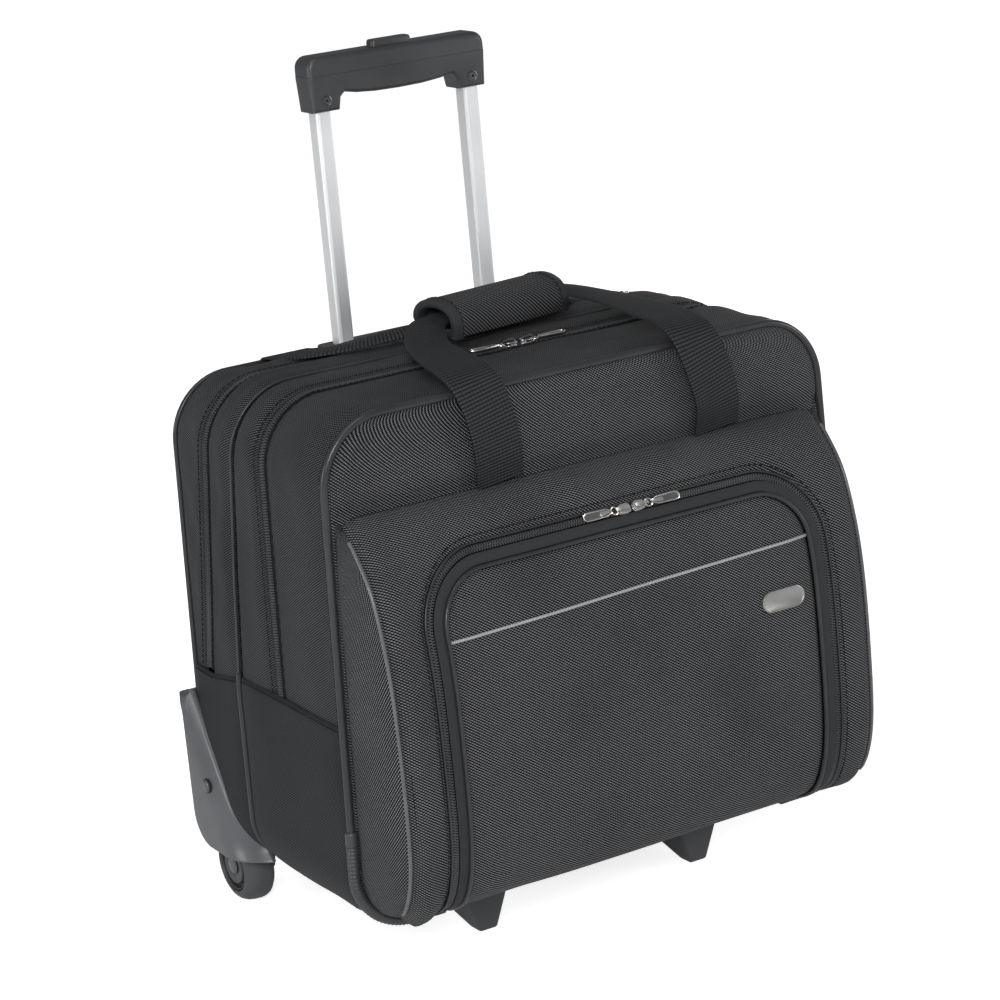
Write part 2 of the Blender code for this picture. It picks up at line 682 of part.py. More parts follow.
def make_collar():
    """The moulded plate that the tubes slide through, on top of the case."""
    collar = add_object("tube_collar",
                        prism(rounded_rectangle(-0.083, 0.083, Y(0.2230), Y(0.2432), 0.006, 3), 2,
                              COLLAR_BOTTOM, COLLAR_TOP), "black_plastic")
    for side in (-1, 1):
        half = [size / 2 + GAP for size in MIDDLE_TUBE]
        hole = box((side * TUBE_X - half[0], Y(TUBE_DEPTH) - half[1], 0.400),
                   (side * TUBE_X + half[0], Y(TUBE_DEPTH) + half[1], 0.420))
        combine(collar, add_object(side_name("collar_hole_cutter", side), hole, None), "DIFFERENCE")


def make_grip(inner):
    depth = [Y(TUBE_DEPTH) - GRIP_HALF_DEPTH, Y(TUBE_DEPTH) + GRIP_HALF_DEPTH]
    edge, leg_out, leg_in, belly = GRIP_HALF_WIDTH, GRIP_HALF_WIDTH - 0.0015, 0.0515, 0.0490
    outline = [(-edge, GRIP_PARTING), (-leg_out, GRIP_BOTTOM + 0.002), (-leg_out + 0.002, GRIP_BOTTOM),
               (-leg_in, GRIP_BOTTOM), (-belly, 0.6025), (-0.024, 0.5998), (0, 0.5990), (0.024, 0.5998),
               (belly, 0.6025), (leg_in, GRIP_BOTTOM),
               (leg_out - 0.002, GRIP_BOTTOM), (leg_out, GRIP_BOTTOM + 0.002), (edge, GRIP_PARTING)]
    lower = add_object("grip_lower_shell", prism(outline, 1, *depth), "black_plastic", inner)
    channel = box((-0.0715, Y(TUBE_DEPTH) - 0.0060, 0.6090), (0.0715, Y(TUBE_DEPTH) + 0.0060, 0.630))
    combine(lower, add_object("grip_channel_cutter", channel, None, inner), "DIFFERENCE")
    for side in (-1, 1):
        half = [size / 2 + GAP for size in INNER_TUBE]
        socket = box((side * TUBE_X - half[0], Y(TUBE_DEPTH) - half[1], 0.580),
                     (side * TUBE_X + half[0], Y(TUBE_DEPTH) + half[1], 0.6050))
        combine(lower, add_object(side_name("grip_socket_cutter", side), socket, None, inner), "DIFFERENCE")
        rod_hole = box((side * TUBE_X - 0.0032, Y(TUBE_DEPTH) - 0.0032, 0.600),
                       (side * TUBE_X + 0.0032, Y(TUBE_DEPTH) + 0.0032, 0.615))
        combine(lower, add_object(side_name("rod_hole_cutter", side), rod_hole, None, inner), "DIFFERENCE")
        screw_at = (side * 0.0632, depth[0], 0.5985)
        screw_hole = turned([(-0.002, 0), (-0.002, 0.0018), (0.0060, 0.0018), (0.0060, 0)], screw_at, 1, 10)
        combine(lower, add_object(side_name("screw_hole_cutter", side), screw_hole, None, inner), "DIFFERENCE")
        screw = turned([(-0.0016, 0), (-0.0016, 0.0026), (-GAP, 0.0034), (-GAP, 0.0014), (0.0042, 0.0014), (0.0042, 0)],
                       screw_at, 1, 12)
        add_object(side_name("grip_screw", side), screw, "steel", inner)
    crown = 0.0050
    cap = ([(-edge, GRIP_PARTING + GAP)] + arc((-edge + crown, GRIP_TOP - crown), crown, 180, 90, 3)
           + arc((edge - crown, GRIP_TOP - crown), crown, 90, 0, 3) + [(edge, GRIP_PARTING + GAP)])
    upper = add_object("grip_upper_shell", prism(cap, 1, *depth), "black_plastic", inner)
    slot = box((-BUTTON_HALF[0] - GAP, Y(TUBE_DEPTH) - BUTTON_HALF[1] - GAP, 0.600),
               (BUTTON_HALF[0] + GAP, Y(TUBE_DEPTH) + BUTTON_HALF[1] + GAP, 0.650))
    combine(upper, add_object("button_slot_cutter", slot, None, inner), "DIFFERENCE")


def make_button(button):
    """The push button, with the link bar under it that pushes both rods down."""
    low = (-BUTTON_HALF[0], Y(TUBE_DEPTH) - BUTTON_HALF[1], GRIP_PARTING + GAP)
    high = (BUTTON_HALF[0], Y(TUBE_DEPTH) + BUTTON_HALF[1], BUTTON_TOP)
    cap = add_object("release_button", box(low, high), "black_plastic", button)
    bar = add_object("button_link_bar", box((-0.0690, Y(TUBE_DEPTH) - 0.0045, 0.6128),
                                            (0.0690, Y(TUBE_DEPTH) + 0.0045, 0.6165)), None, button)
    neck = add_object("button_neck", box((-0.015, Y(TUBE_DEPTH) - 0.0045, 0.6140), (0.015, Y(TUBE_DEPTH) + 0.0045, 0.6200)),
                      None, button)
    combine(cap, neck, "UNION")
    combine(cap, bar, "UNION")


# ------------------------------------------------------------------ carry handles

def strap_section():
    half, thick = WEBBING_WIDTH / 2, WEBBING / 2
    return [(-half, -thick), (half, -thick), (half, thick), (-half, thick)]


def make_handles(front, rear):
    front_route = [(-0.0830, 0.0075, 0.4197), (-0.0825, 0.0450, 0.4207), (-0.0770, 0.0880, 0.4255),
                   (-0.0580, 0.1200, 0.4345), (-0.0200, 0.1310, 0.4385), (0.0120, 0.1355, 0.4390),
                   (0.0480, 0.1400, 0.4385), (0.0820, 0.1360, 0.4345), (0.1030, 0.1000, 0.4255),
                   (0.1105, 0.0500, 0.4207), (0.1110, 0.0075, 0.4197)]
    front_widths = [1, 1, 0.95, 0.74, 0.60, 0.60, 0.60, 0.74, 0.95, 1, 1]
    rear_route = [(-0.1090, 0.2425, 0.4105), (-0.1060, 0.2080, 0.4145), (-0.0900, 0.1800, 0.4215),
                  (-0.0500, 0.1600, 0.4295), (0.0120, 0.1560, 0.4305), (0.0720, 0.1640, 0.4295),
                  (0.0980, 0.1820, 0.4215), (0.1075, 0.2080, 0.4145), (0.1090, 0.2425, 0.4105)]
    rear_widths = [1, 0.95, 0.80, 0.55, 0.50, 0.55, 0.80, 0.95, 1]
    for name, route, widths, body in (("front_handle_webbing", front_route, front_widths, front),
                                      ("rear_handle_webbing", rear_route, rear_widths, rear)):
        points = smooth_curve([(x, Y(depth), z) for x, depth, z in route], 3)
        scales = [v.x for v in smooth_curve([(w, 0, 0) for w in widths], 3)]
        add_object(name, swept(points, strap_section(), Vector((0, 0, 1)), widths=scales), "webbing", body)
    make_wrap(front)


def make_wrap(front):
    """The padded grip round the front handle. Its rear flap stops above the rear handle's webbing."""
    outer, inner, middle_z, front_edge, rear_edge = 0.0245, 0.0168, 0.4400, 0.4275, 0.4342
    shape = [(-outer, front_edge)]
    shape += [(x, middle_z + z * 0.63) for x, z in arc((0, 0), outer, 180, 0, 8)]
    shape += [(outer, rear_edge), (inner, rear_edge)]
    shape += [(x, middle_z + z * 0.51) for x, z in arc((0, 0), inner, 0, 180, 6)]
    shape += [(-inner, front_edge)]
    start, end = Vector((-0.0400, Y(0.1285), 0)), Vector((0.0680, Y(0.1430), 0))
    along = (end - start).normalized()
    across = Vector((-along.y, along.x, 0))
    made = bmesh.new()
    rings = []
    for place in (start, end):
        rings.append([made.verts.new(place + across * v + Vector((0, 0, z))) for v, z in shape])
    join_rings(made, rings, closed_rings=True)
    made.faces.new(rings[0])
    made.faces.new(reversed(rings[1]))
    add_object("handle_wrap", made, "ballistic_nylon", front)


# ------------------------------------------------------------------ zip sliders

def oriented_box(centre, axes, half):
    """A box with its own axes: along, down and outwards."""
    made = bmesh.new()
    rings = []
    for level in (-1, 1):
        ring = []
        for a, b in ((-1, -1), (1, -1), (1, 1), (-1, 1)):
            ring.append(made.verts.new(Vector(centre) + axes[0] * a * half[0] + axes[1] * b * half[1]
                                       + axes[2] * level * half[2]))
        rings.append(ring)
    join_rings(made, rings, closed_rings=True)
    made.faces.new(rings[0])
    made.faces.new(reversed(rings[1]))
    return made


def make_zip_slider(name, side, centre, down, outwards, slider, pull):
    """A slider body with its pull tab lying flat and pointing outwards along the zip."""
    along = Vector((side, 0, 0))
    axes = (along, down, outwards)
    body = oriented_box(centre, axes, (0.0045, 0.0036, 0.0019))
    add_object(side_name(name + "_slider", side), body, "nickel", slider)
    length, root = 0.0292, PULL_ROOT
    tab_centre = Vector(centre) + along * (root + length / 2)
    tab = oriented_box(tab_centre, axes, (length / 2, 0.0030, 0.0008))
    add_object(side_name(name + "_pull", side), tab, "nickel", pull)


def make_zip_sliders(lid):
    up, back = Vector((0, 0, 1)), Vector((0, 1, 0))
    for side in (-1, 1):
        meeting = 0.0100 + side * 0.0060
        centre = Vector((meeting, Y(0.0965), CASE_TOP + GAP + 0.0019))
        slider = pivot(side_name("main_slider_pivot", side), tuple(centre))
        hinge = pivot(side_name("main_pull_pivot", side), tuple(centre + Vector((side * PULL_ROOT, 0, 0))), slider)
        make_zip_slider("main", side, centre, back, up, slider, hinge)
        height = FLAP_TOP + 0.0045
        down = pocket_slope(height)
        outwards = down.cross(Vector((1, 0, 0)))
        base = Vector((0.0135 + side * 0.0060, Y(-pocket_depth(height)), height)) + outwards * (0.0019 + 2 * GAP)
        slider = pivot(side_name("pocket_slider_pivot", side), tuple(base), lid)
        hinge = pivot(side_name("pocket_pull_pivot", side), tuple(base + Vector((side * PULL_ROOT, 0, 0))), slider)
        make_zip_slider("pocket", side, base, down, outwards, slider, hinge)


# ------------------------------------------------------------------ assembly

def main():
    clear_scene()
    make_case_body()
    lid = pivot("lid_pivot", (0, Y(PANEL), 0.0400))
    flap = pivot("flap_pivot", (0, Y(-FLAP_PIVOT[0]), FLAP_PIVOT[1]), lid)
    make_front_cover(lid)
    make_flap(flap)
    for side in (-1, 1):
        wheel = pivot(side_name("wheel_pivot", side), (side * WHEEL_X, Y(WHEEL_DEPTH), WHEEL_RADIUS))
        make_wheel_unit(side, wheel)
        make_foot(side)
    middle = pivot("trolley_middle_pivot", (0, Y(TUBE_DEPTH), 0.0620))
    inner = pivot("trolley_inner_pivot", (0, Y(TUBE_DEPTH), 0.2500), middle)
    button = pivot("button_pivot", (0, Y(TUBE_DEPTH), GRIP_TOP), inner)
    make_trolley(middle, inner, button)
    front = pivot("front_handle_pivot", (0.012, Y(0.1355), 0.4480), lid)
    rear = pivot("rear_handle_pivot", (0.012, Y(0.1560), 0.4385))
    make_handles(front, rear)
    make_zip_sliders(lid)


main()
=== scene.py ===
"""Looks of the rolling laptop case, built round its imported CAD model: fabric walls with crowned panels, woven
materials, coil zips, stitching, piping, a padded grip wrap, webbing, and finer plastic and metal parts.

Metres, +Z up, the case faces -Y. Depth is the distance behind the front panel's plane.
"""

import bisect
import math
import random

import bmesh
import bpy
import numpy as np
from mathutils import Matrix, Vector


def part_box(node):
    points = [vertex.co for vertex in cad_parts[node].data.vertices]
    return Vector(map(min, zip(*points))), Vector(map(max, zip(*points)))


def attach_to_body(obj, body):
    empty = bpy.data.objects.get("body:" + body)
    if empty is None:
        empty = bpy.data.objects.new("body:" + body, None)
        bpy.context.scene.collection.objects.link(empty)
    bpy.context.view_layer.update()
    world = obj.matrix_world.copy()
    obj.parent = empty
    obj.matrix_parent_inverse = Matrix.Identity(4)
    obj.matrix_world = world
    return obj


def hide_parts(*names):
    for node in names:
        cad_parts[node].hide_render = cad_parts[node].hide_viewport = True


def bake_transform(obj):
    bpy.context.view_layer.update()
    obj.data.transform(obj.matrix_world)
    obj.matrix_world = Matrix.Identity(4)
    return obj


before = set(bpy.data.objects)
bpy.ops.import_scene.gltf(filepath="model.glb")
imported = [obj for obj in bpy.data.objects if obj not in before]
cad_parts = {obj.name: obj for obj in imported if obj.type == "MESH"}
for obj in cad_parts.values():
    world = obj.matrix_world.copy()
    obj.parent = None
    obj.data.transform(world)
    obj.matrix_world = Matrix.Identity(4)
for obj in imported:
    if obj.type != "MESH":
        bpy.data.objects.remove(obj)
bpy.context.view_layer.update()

SIDES = (("left", -1), ("right", 1))

# Case outline, from the front panel's own box.
PANEL_LOW, PANEL_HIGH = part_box("front_panel")
FRONT_Y = PANEL_LOW.y
BOTTOM, TOP = PANEL_LOW.z, PANEL_HIGH.z
MIDDLE = (BOTTOM + TOP) / 2
HALF = 0.2128
TAPER = 0.0292
TOP_RADIUS = 0.048
BOTTOM_RADIUS = 0.043
REAR_START = 0.165
REAR_DEPTH = 0.2475
REAR_DROP = 0.010
REAR_NARROWING = 0.018
FABRIC = 0.0011

# Seams: (height, depth) on the sides of the case, the last one being the top.
MAIN_ZIP = ((0.047, 0.0962), (0.4165, 0.0962))
DIVIDER = ((0.047, 0.1570), (0.090, 0.1590), (0.188, 0.1622), (0.275, 0.1546), (0.384, 0.1410),
           (0.4165, 0.1385))
REAR_ZIP = ((0.047, 0.2225), (0.188, 0.2203), (0.264, 0.2070), (0.383, 0.1890), (0.4165, 0.1850))
BACK_EDGE = ((0.047, REAR_DEPTH), (0.4165, REAR_DEPTH))
FRONT_EDGE = ((0.047, 0.0006), (0.4165, 0.0006))
PATCH_TOP = 0.200
PATCH_DROP = 0.012
PATCH_HINGE = 0.120
DIVIDER_LOW = 0.1575
TAPE_HALF = 0.0058
PIPING_DEPTH = 0.0010

# Wheel wells, as a stretch of the outline's bottom corner behind a depth.
WELL_START, WELL_END = 0.1796, 0.2154
WELL_X = 0.1795
WELL_DEPTH = 0.1780
WELL_TOP = 0.0690

# Handles: the tubes, the rows of fabric that open for them, and the seams and webbing behind.
TUBE_X = 0.064
TUBE_FOLDS = (0.2226, 0.2414)
TUBE_HOLE_X, TUBE_HOLE_DEPTH, TUBE_HOLE_ABOVE = (0.0545, 0.0735), (0.2234, 0.2410), 0.39
TUNNEL_SEAMS = (-0.084, -0.044, 0.044, 0.084)
REAR_STRAP_X = 0.109
GRIP_DEPTH, GRIP_HALF_DEPTH = 0.232, 0.0125
SCREW_X, SCREW_HEIGHT = 0.0632, 0.5985

# Wheels and guards.
WHEEL_X, WHEEL_DEPTH, WHEEL_HEIGHT = 0.2025, 0.2175, 0.0300
RIVET_X, RIVET_DEPTH, RIVET_HEIGHT = 0.2264, 0.2185, 0.0985
GUARD_CREST, GUARD_BACK = 0.2266, 0.2550

# Front pocket. The curve's rows are (how far forward, height).
POCKET_HALF = 0.200
POCKET_LOW, POCKET_TOP, POCKET_SEAM = 0.0494, 0.3487, 0.3495
POCKET_CURVE = (
    (0.0003, 0.3490), (0.0220, 0.3300), (0.0420, 0.3000), (0.0555, 0.2450),
    (0.0595, 0.1750), (0.0570, 0.1080), (0.0420, 0.0690), (0.0160, 0.0530), (0.0003, 0.0490),
)
FLAP_HALF, FLAP_TOP, FLAP_RADIUS, FLAP_INSET = 0.1615, 0.3115, 0.046, 0.0084
COIL_OUT, PIPING_IN = 0.0045, -0.0075

FORWARDS, REARWARDS, FORWARDS_UP = Vector((0, -1, 0)), Vector((0, 1, 0)), Vector((0, -1, 0.1))


def at(depth):
    return FRONT_Y + depth


def clamp(value, low=0.0, high=1.0):
    return min(max(value, low), high)


def mix(a, b, share):
    return a + (b - a) * share


def smooth(value):
    value = clamp(value)
    return value * value * (3 - 2 * value)


def spread(start, end, step):
    """Evenly spaced values from start to end, about a step apart."""
    count = max(2, round(abs(end - start) / step) + 1)
    return [mix(start, end, i / (count - 1)) for i in range(count)]


def table_at(table, key):
    """The value at key, on straight lines between a table's (key, value) rows in rising order of key."""
    if key <= table[0][0]:
        return table[0][1]
    for (low, a), (high, b) in zip(table, table[1:]):
        if key <= high:
            return mix(a, b, (key - low) / (high - low))
    return table[-1][1]


WAVES = {}


def ripple(a, b, seed, length):
    """A gentle uneven surface between about -1 and 1, from waves in fixed pseudo-random directions."""
    if seed not in WAVES:
        rng = random.Random(seed)
        WAVES[seed] = [tuple(rng.uniform(*limits) for limits in ((0, math.tau), (0.6, 1.5), (0, math.tau)))
                       for _ in range(5)]
    total = 0
    for turn, stretch, phase in WAVES[seed]:
        total += math.sin(math.tau * (a * math.cos(turn) + b * math.sin(turn)) / (length * stretch) + phase)
    return total / 3


# ---- materials ----

class Nodes:
    """A material's node tree, built from short calls."""

    def __init__(self, name, roughness, metallic=0.0, specular=0.5):
        self.material = bpy.data.materials.new(name)
        self.material.use_nodes = True
        self.tree = self.material.node_tree
        self.shader = self.tree.nodes["Principled BSDF"]
        self.put(self.shader, {"Roughness": roughness, "Metallic": metallic, "Specular IOR Level": specular})

    def put(self, node, values):
        """Give a node's sockets their values, or link them where the value is another node's output."""
        for socket, value in values.items():
            if isinstance(value, bpy.types.NodeSocket):
                self.tree.links.new(value, node.inputs[socket])
            else:
                node.inputs[socket].default_value = value

    def add(self, kind, values, **settings):
        """The outputs of a new node."""
        node = self.tree.nodes.new("ShaderNode" + kind)
        for setting, value in settings.items():
            setattr(node, setting, value)
        self.put(node, values)
        return node.outputs

    def math(self, operation, a, b=0.0, clamped=False):
        return self.add("Math", {0: a, 1: b}, operation=operation, use_clamp=clamped)[0]

    def times(self, a, b, clamped=False):
        return self.math("MULTIPLY", a, b, clamped)

    def weave(self):
        """The cloth's own coordinates, in metres along its two threads."""
        place = self.add("Attribute", {}, attribute_name="weave")["Vector"]
        return self.add("SeparateXYZ", {0: place})[:2]

    def place(self):
        return self.add("TexCoord", {})["Object"]

    def noise(self, scale, detail=2.0, rough=0.5, vector=None):
        vector = vector or self.place()
        values = {"Vector": vector, "Scale": scale, "Detail": detail, "Roughness": rough}
        return self.add("TexNoise", values)["Fac"]

    def scaled(self, value, low, high, from_low=0.0, from_high=1.0):
        return self.add("MapRange", {0: value, 1: from_low, 2: from_high, 3: low, 4: high})[0]

    def colour(self, share, dark, light):
        return self.add("Mix", {0: share, 6: (*dark, 1), 7: (*light, 1)}, data_type="RGBA")[2]

    def bump(self, height, distance, strength=1.0):
        values = {"Strength": strength, "Distance": distance, "Height": height}
        self.put(self.shader, {"Normal": self.add("Bump", values)[0]})

    def finish(self, share, dark, light, gloss=None):
        """The material, with its colour between dark and light and, where it varies, its roughness."""
        self.put(self.shader, {"Base Color": self.colour(share, dark, light)})
        if gloss is not None:
            self.put(self.shader, {"Roughness": gloss})
        return self.material


CLOTH_ROUGHNESS = 0.62


def cloth(name, cell, dark, light, depth=0.0004, slant=0.35, cross=None):
    """Woven fabric: threads cross over and under in a chequer, with a diagonal as strong as slant. Its
    colour is lighter where threads lie on top, as painted sheen highlights on the weave.
    """
    nodes = Nodes(name, CLOTH_ROUGHNESS, specular=0.14)
    nodes.put(nodes.shader, {"Sheen Weight": 0.02, "Sheen Roughness": 0.45})
    along, across = nodes.weave()
    wobble = nodes.times(nodes.math("SUBTRACT", nodes.noise(60.0), 0.5), cell * 0.8)
    turn = nodes.times(nodes.math("ADD", along, wobble), math.pi / cell)
    rise = nodes.times(across, math.pi / (cross or cell))
    over = nodes.times(nodes.math("SINE", turn), nodes.math("SINE", rise))
    diagonal = nodes.math("COSINE", nodes.math("ADD", turn, rise))
    over = nodes.math("SUBTRACT", over, nodes.times(diagonal, slant))
    thread = nodes.math("POWER", nodes.math("ABSOLUTE", over), 0.55)
    lit = nodes.scaled(over, 0.0, 1.0, 0.0, 0.72)
    patchy = nodes.scaled(nodes.noise(11.0, 3.0), 0.78, 1.22, 0.3, 0.7)
    fuzz = nodes.scaled(nodes.noise(900.0, 1.0), 0.70, 1.30)
    nodes.bump(nodes.math("ADD", thread, nodes.times(lit, 0.6)), depth, 0.9)
    # painted highlight: the colour follows lit, lighter on the thread tops, standing in for the weave's sheen
    return nodes.finish(nodes.times(nodes.times(lit, patchy), fuzz, True), dark, light)


def ribbed(name, rib, dark, light, depth, cross=0.0):
    """Webbing or tape: ribs across its length, each a row of short threads. Its colour is lighter on the
    rib tops, as painted highlights.
    """
    nodes = Nodes(name, CLOTH_ROUGHNESS, specular=0.16)
    ribs, threads = (
        nodes.math("ABSOLUTE", nodes.math("SINE", nodes.times(line, math.pi / step)))
        for line, step in zip(nodes.weave(), (rib, cross or rib * 0.55)))
    height = nodes.times(nodes.math("POWER", ribs, 0.7), nodes.scaled(threads, 0.75, 1.0))
    fuzz = nodes.scaled(nodes.noise(1200.0, 1.0), 0.7, 1.3)
    nodes.bump(height, depth, 0.9)
    # painted highlight: the colour follows the rib height, lighter on the rib tops
    return nodes.finish(nodes.times(nodes.math("POWER", height, 1.5), fuzz, True), dark, light)


def moulded(name, dark, light, roughness, grain=0.00006, scale=1500.0, specular=0.5, wear=14.0):
    """Moulded plastic or rubber with a fine grain and slightly uneven gloss."""
    nodes = Nodes(name, roughness, specular=specular)
    cloudy = nodes.noise(wear, 4.0, 0.6)
    fine = nodes.noise(scale, 2.0, 0.6)
    nodes.bump(fine, grain, 0.6)
    share = nodes.scaled(nodes.math("ADD", cloudy, nodes.times(fine, 0.25)), 0.0, 1.0, 0.35, 0.9)
    return nodes.finish(share, dark, light, nodes.scaled(cloudy, roughness - 0.05, roughness + 0.08))


def metal(name, dark, light, roughness, brushed=0.0, metallic=1.0):
    """Plated or anodised metal. brushed stretches the grain along the height."""
    nodes = Nodes(name, roughness, metallic=metallic)
    vector = nodes.add("Mapping", {"Vector": nodes.place(), "Scale": (1, 1, brushed)})[0] if brushed else None
    grain = nodes.noise(2200.0 if brushed else 400.0, 3.0, 0.6, vector)
    smudge = nodes.noise(25.0, 3.0)
    nodes.bump(grain, 0.000015, 0.5)
    share = nodes.scaled(nodes.math("ADD", nodes.times(grain, 0.5), smudge), 0.0, 1.0, 0.4, 1.1)
    return nodes.finish(share, dark, light, nodes.scaled(smudge, roughness - 0.05, roughness + 0.08))


def flecked_cord(name, dark, light):
    """Reflective cord with a twisted thread."""
    nodes = Nodes(name, 0.35)
    along, across = nodes.weave()
    turn = nodes.math("ADD", nodes.times(along, 2400.0), nodes.times(across, 900.0))
    twist = nodes.math("ABSOLUTE", nodes.math("SINE", turn))
    nodes.bump(twist, 0.0002)
    return nodes.finish(nodes.scaled(twist, 0.0, 1.0), dark, light)


# The light colours of these cloths are painted sheen highlights on their thread tops.
BALLISTIC = cloth("ballistic_nylon", 0.00150, (0.0030, 0.0032, 0.0038), (0.186, 0.190, 0.198), cross=0.00108)
FINE_TWILL = cloth("fine_twill", 0.00092, (0.0032, 0.0034, 0.0039), (0.106, 0.109, 0.116),
                   depth=0.0003, cross=0.00155)
PATCH = cloth("plain_nylon", 0.00095, (0.0075, 0.0078, 0.0087), (0.046, 0.0475, 0.0515),
              depth=0.00012, cross=0.00150)
WRAP_TWILL = cloth("wrap_twill", 0.00150, (0.0040, 0.0042, 0.0048), (0.104, 0.106, 0.112),
                   slant=1.4, cross=0.00170)
LINING = cloth("lining", 0.00070, (0.055, 0.056, 0.060), (0.11, 0.112, 0.12), depth=0.0001)
# The light colours of the ribbed webbing and tapes are painted highlights on their rib tops.
WEBBING = ribbed("webbing", 0.00265, (0.0022, 0.0023, 0.0027), (0.042, 0.0432, 0.046),
                 depth=0.0006, cross=0.0028)
BINDING = ribbed("binding_tape", 0.00080, (0.012, 0.0124, 0.0135), (0.046, 0.0475, 0.051), depth=0.00012)
TAPE = ribbed("zip_tape", 0.00070, (0.0030, 0.0032, 0.0036), (0.012, 0.0124, 0.0134), depth=0.00012)
COIL = moulded("zip_coil", (0.040, 0.0412, 0.0445), (0.085, 0.0875, 0.093), 0.42, grain=0.00002, specular=0.3)
THREAD = moulded("thread", (0.0045, 0.0047, 0.0052), (0.020, 0.0207, 0.0225), 0.75,
                 grain=0.00002, specular=0.15)
PIPING = moulded("vinyl_piping", (0.018, 0.0187, 0.0205), (0.040, 0.0415, 0.045), 0.30,
                 grain=0.00002, scale=900.0, specular=0.38)
SLEEVE = moulded("corner_sleeve", (0.026, 0.027, 0.0295), (0.050, 0.0515, 0.056), 0.42, grain=0.00003)
GUARD = moulded("guard_plastic", (0.062, 0.065, 0.070), (0.096, 0.100, 0.107), 0.34,
                grain=0.00004, scale=1800.0)
BLACK = moulded("black_plastic", (0.024, 0.0252, 0.0280), (0.044, 0.046, 0.0505), 0.40, grain=0.00005)
FOOT = moulded("foot_plastic", (0.040, 0.042, 0.0460), (0.062, 0.065, 0.071), 0.48, grain=0.00005)
RUBBER = moulded("tyre_rubber", (0.042, 0.0435, 0.047), (0.070, 0.0725, 0.078), 0.55,
                 grain=0.00006, wear=30.0)
ALUMINIUM = metal("satin_aluminium", (0.82, 0.83, 0.84), (0.92, 0.93, 0.94), 0.40, brushed=0.02, metallic=0.6)
STEEL = metal("plain_steel", (0.30, 0.30, 0.31), (0.48, 0.48, 0.50), 0.32)
NICKEL = metal("nickel_plate", (0.72, 0.71, 0.69), (0.95, 0.94, 0.91), 0.24)
NICKEL_DARK = metal("nickel_recess", (0.16, 0.158, 0.155), (0.30, 0.297, 0.29), 0.40)
BADGE = metal("brushed_badge", (0.28, 0.28, 0.275), (0.46, 0.46, 0.45), 0.46, brushed=0.02)
CORD = flecked_cord("reflective_cord", (0.16, 0.165, 0.18), (0.42, 0.43, 0.45))
DARK_STEEL = metal("dark_steel", (0.10, 0.102, 0.108), (0.19, 0.192, 0.20), 0.34)
# Near black, for painted shade: laid in the hub slots and under the rivet heads.
SHADOW = moulded("painted_recess_shade", (0.004, 0.004, 0.0045), (0.008, 0.008, 0.009), 0.6)
EDGE_TRIM = moulded("pocket_edge_trim", (0.075, 0.077, 0.082), (0.130, 0.133, 0.140), 0.26, grain=0.00002)


# ---- mesh helpers ----

def piece(name, points, faces, material, coords=None, angle=50):
    """A mesh object of points and faces. coords are the cloth's own coordinates for each point."""
    mesh = bpy.data.meshes.new(name)
    mesh.from_pydata([tuple(p) for p in points], [], faces)
    mesh.validate()
    if coords is not None:
        layer = mesh.attributes.new("weave", "FLOAT_VECTOR", "POINT")
        layer.data.foreach_set("vector", np.array([(u, v, 0) for u, v in coords], np.float32).ravel())
    mesh.materials.append(material)
    mesh.shade_smooth()
    mesh.set_sharp_from_angle(angle=math.radians(angle))
    thing = bpy.data.objects.new(name, mesh)
    bpy.context.scene.collection.objects.link(thing)
    return thing


def face_grid(rows, columns, closed_rows=False, closed_columns=False, start=0):
    faces = []
    for i in range(rows if closed_rows else rows - 1):
        for j in range(columns if closed_columns else columns - 1):
            a, b = start + i * columns, start + (i + 1) % rows * columns
            k = (j + 1) % columns
            faces.append((a + j, a + k, b + k, b + j))
    return faces


def capped(rows, count):
    """Faces over rows of closed rings of count points each, with a face over both ends."""
    ends = [tuple(reversed(range(count))), tuple(range((rows - 1) * count, rows * count))]
    return face_grid(rows, count, False, True) + ends


def closed_piece(name, points, faces, material, coords=None, angle=50):
    """A closed piece with its faces turned outwards."""
    thing = piece(name, points, faces, material, coords, angle)
    made = bmesh.new()
    made.from_mesh(thing.data)
    bmesh.ops.recalc_face_normals(made, faces=made.faces)
    made.to_mesh(thing.data)
    made.free()
    return thing


def thicken(thing, outwards, thickness):
    """Turn a sheet's faces outwards, a direction or a function of a place, and thicken it inwards."""
    mesh = thing.data
    ways = [outwards(p.center) if callable(outwards) else outwards for p in mesh.polygons]
    if sum(p.normal.dot(way) * p.area for p, way in zip(mesh.polygons, ways)) < 0:
        mesh.flip_normals()
    modifier = thing.modifiers.new("thickness", "SOLIDIFY")
    modifier.thickness = thickness
    modifier.offset = -1
    return thing


def sheet(name, rows, columns, place, material, outwards, thickness=FABRIC, hole=None):
    """A fabric sheet over a grid. place(row, column) gives a point and the cloth's own coordinates there.
    hole says, from the corners of a face and their coordinates, whether that face is left out."""
    points, coords = zip(*(place(row, column) for row in rows for column in columns))
    faces = face_grid(len(rows), len(columns))
    if hole:
        faces = [face for face in faces if not hole([points[i] for i in face], [coords[i] for i in face])]
    return thicken(piece(name, points, faces, material, coords), outwards, thickness)


def join_meshes(parts):
    """One mesh from several (points, faces) pairs."""
    points, faces = [], []
    for some_points, some_faces in parts:
        faces += [tuple(len(points) + i for i in face) for face in some_faces]
        points += some_points
    return points, faces


def lathe(name, place, axis, profile, material, sides=24, angle=40):
    """A turned part: profile rows are (radius, distance along the axis)."""
    axis = Vector(axis)
    first = axis.orthogonal().normalized()
    second = axis.cross(first)
    points = []
    for radius, along in profile:
        for i in range(sides):
            a = math.tau * i / sides
            spoke = (first * math.cos(a) + second * math.sin(a)) * max(radius, 1e-5)
            points.append(place + axis * along + spoke)
    return closed_piece(name, points, capped(len(profile), sides), material, None, angle)


